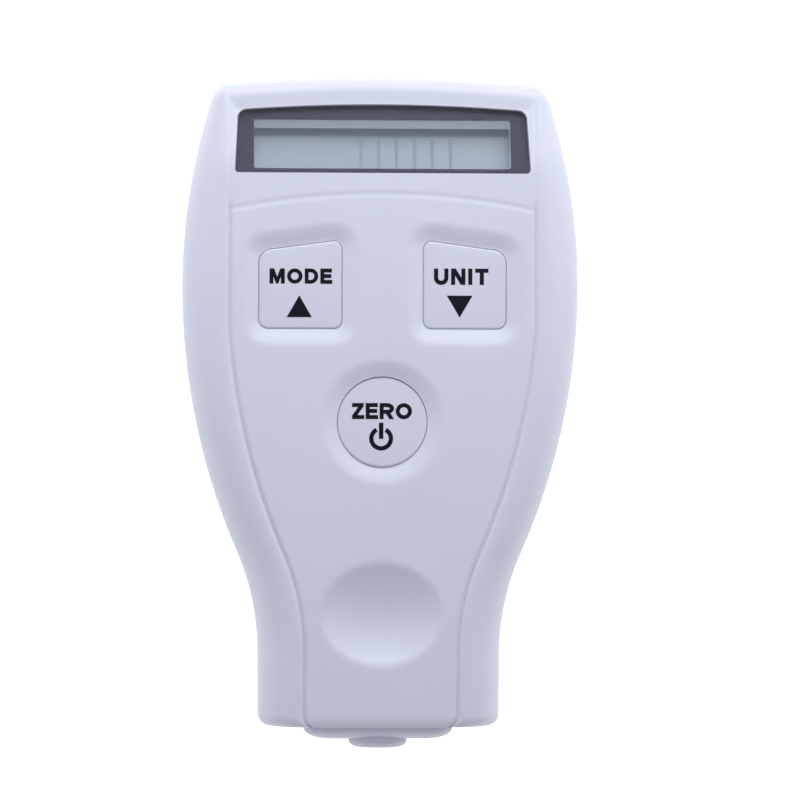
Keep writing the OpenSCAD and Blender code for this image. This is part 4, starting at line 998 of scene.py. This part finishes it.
tip += [(TIP_R, NOSE_L), (SLEEVE_FLANGE_R, NOSE_L), (SLEEVE_FLANGE_R, NOSE_L + SLEEVE_FLANGE_T),
        (SLEEVE_R, NOSE_L + SLEEVE_FLANGE_T), (SLEEVE_R, SLEEVE_FRONT), (bore_r, SLEEVE_FRONT)]
piece("probe_sleeve_skin", turned(tip, ROUND_STEPS, PROBE), "probe", HOUSING, ["probe_sleeve"],
      crease=30)


def giving_way(name, node, slot):
    """A piece like its CAD node, riding on the housing with a mesh of its own."""
    bm = like_solid(node)
    skin = piece(name, bm, "housing", CAD_FINISHES[slot], [node], crease=60)
    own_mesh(skin)


giving_way("probe_spring_coil", "probe_spring", "steel")
giving_way("probe_lead_pair", "probe_leads", "lead_cover")

# Floor, light and camera

# The floor lies just under the flat of the back, so that the two faces don't coincide
FLOOR_HALF, FLOOR_DROP = 4, 0.00005


def stage_finish(name, colour, glow):
    """A white ground that the camera, gloss and glass see bright, and that still takes a faint shadow."""
    material = bpy.data.materials.new(name)
    material.use_nodes = True
    nodes, links = material.node_tree.nodes, material.node_tree.links
    shader = nodes["Principled BSDF"]
    shader.inputs["Base Color"].default_value = colour
    shader.inputs["Roughness"].default_value = 0.9
    shader.inputs["Emission Color"].default_value = (1, 1, 1, 1)
    path = nodes.new("ShaderNodeLightPath")
    seen = path.outputs["Is Camera Ray"]
    for ray in ("Is Glossy Ray", "Is Transmission Ray"):
        add = nodes.new("ShaderNodeMath")
        add.operation = "MAXIMUM"
        links.new(seen, add.inputs[0])
        links.new(path.outputs[ray], add.inputs[1])
        seen = add.outputs["Value"]
    strength = nodes.new("ShaderNodeMath")
    strength.operation = "MULTIPLY"
    strength.inputs[1].default_value = glow
    links.new(seen, strength.inputs[0])
    links.new(strength.outputs["Value"], shader.inputs["Emission Strength"])
    return material


ground = bmesh.new()
bmesh.ops.create_grid(ground, x_segments=1, y_segments=1, size=FLOOR_HALF)
bmesh.ops.translate(ground, vec=(0, 0, -FLOOR_DROP), verts=ground.verts)
ground_mesh = bpy.data.meshes.new("floor")
ground.to_mesh(ground_mesh)
ground.free()
ground_mesh.materials.append(stage_finish("floor_white", (0.8, 0.8, 0.8, 1), 0.85))
floor = bpy.data.objects.new("floor", ground_mesh)
bpy.context.scene.collection.objects.link(floor)


def lamp(name, spot, aim, size, power):
    """A soft rectangular lamp that looks at a point."""
    light = bpy.data.lights.new(name, "AREA")
    light.shape = "RECTANGLE"
    light.size, light.size_y = size
    light.energy = power
    obj = bpy.data.objects.new(name, light)
    obj.location = spot
    obj.rotation_mode = "QUATERNION"
    obj.rotation_quaternion = (Vector(aim) - Vector(spot)).to_track_quat("-Z", "Y")
    bpy.context.scene.collection.objects.link(obj)


lamp("top_softbox", (0.05, 0.32, 0.25), (0, 0.01, 0.02), (0.5, 0.26), 1.2)
lamp("left_softbox", (-0.45, 0.1, 0.22), (0, 0.01, 0.02), (0.4, 0.4), 0.7)
lamp("right_softbox", (0.45, 0.1, 0.22), (0, 0.01, 0.02), (0.4, 0.4), 0.6)
lamp("low_softbox", (0, -0.42, 0.2), (0, -0.03, 0.02), (0.4, 0.3), 0.22)
world = bpy.data.worlds.new("studio")
world.use_nodes = True
world.node_tree.nodes["Background"].inputs["Color"].default_value = (1, 1, 1, 1)
world.node_tree.nodes["Background"].inputs["Strength"].default_value = 0.32
bpy.context.scene.world = world
bpy.context.scene.view_settings.view_transform = "Standard"

# The photograph looks straight down, a little from the probe end and from the left
AIM = Vector((3.42, 2.4, 22)) * MM
LEAN, SIDE_LEAN, ROLL, DISTANCE = math.radians(0.9), math.radians(3), math.radians(0.12), 0.8
optics = bpy.data.cameras.new("camera")
optics.sensor_width = 36
optics.lens = 204
camera = bpy.data.objects.new("camera", optics)
away = Vector((-math.sin(SIDE_LEAN), -math.sin(LEAN), 1)).normalized()
right = Vector((0, 1, 0)).cross(away).normalized()
up = away.cross(right)
camera.location = AIM + away * DISTANCE
camera.rotation_mode = "QUATERNION"
turn = Matrix((right, up, away)).transposed() @ Matrix.Rotation(ROLL, 3, "Z")
camera.rotation_quaternion = turn.to_quaternion()
bpy.context.scene.collection.objects.link(camera)
bpy.context.scene.camera = camera
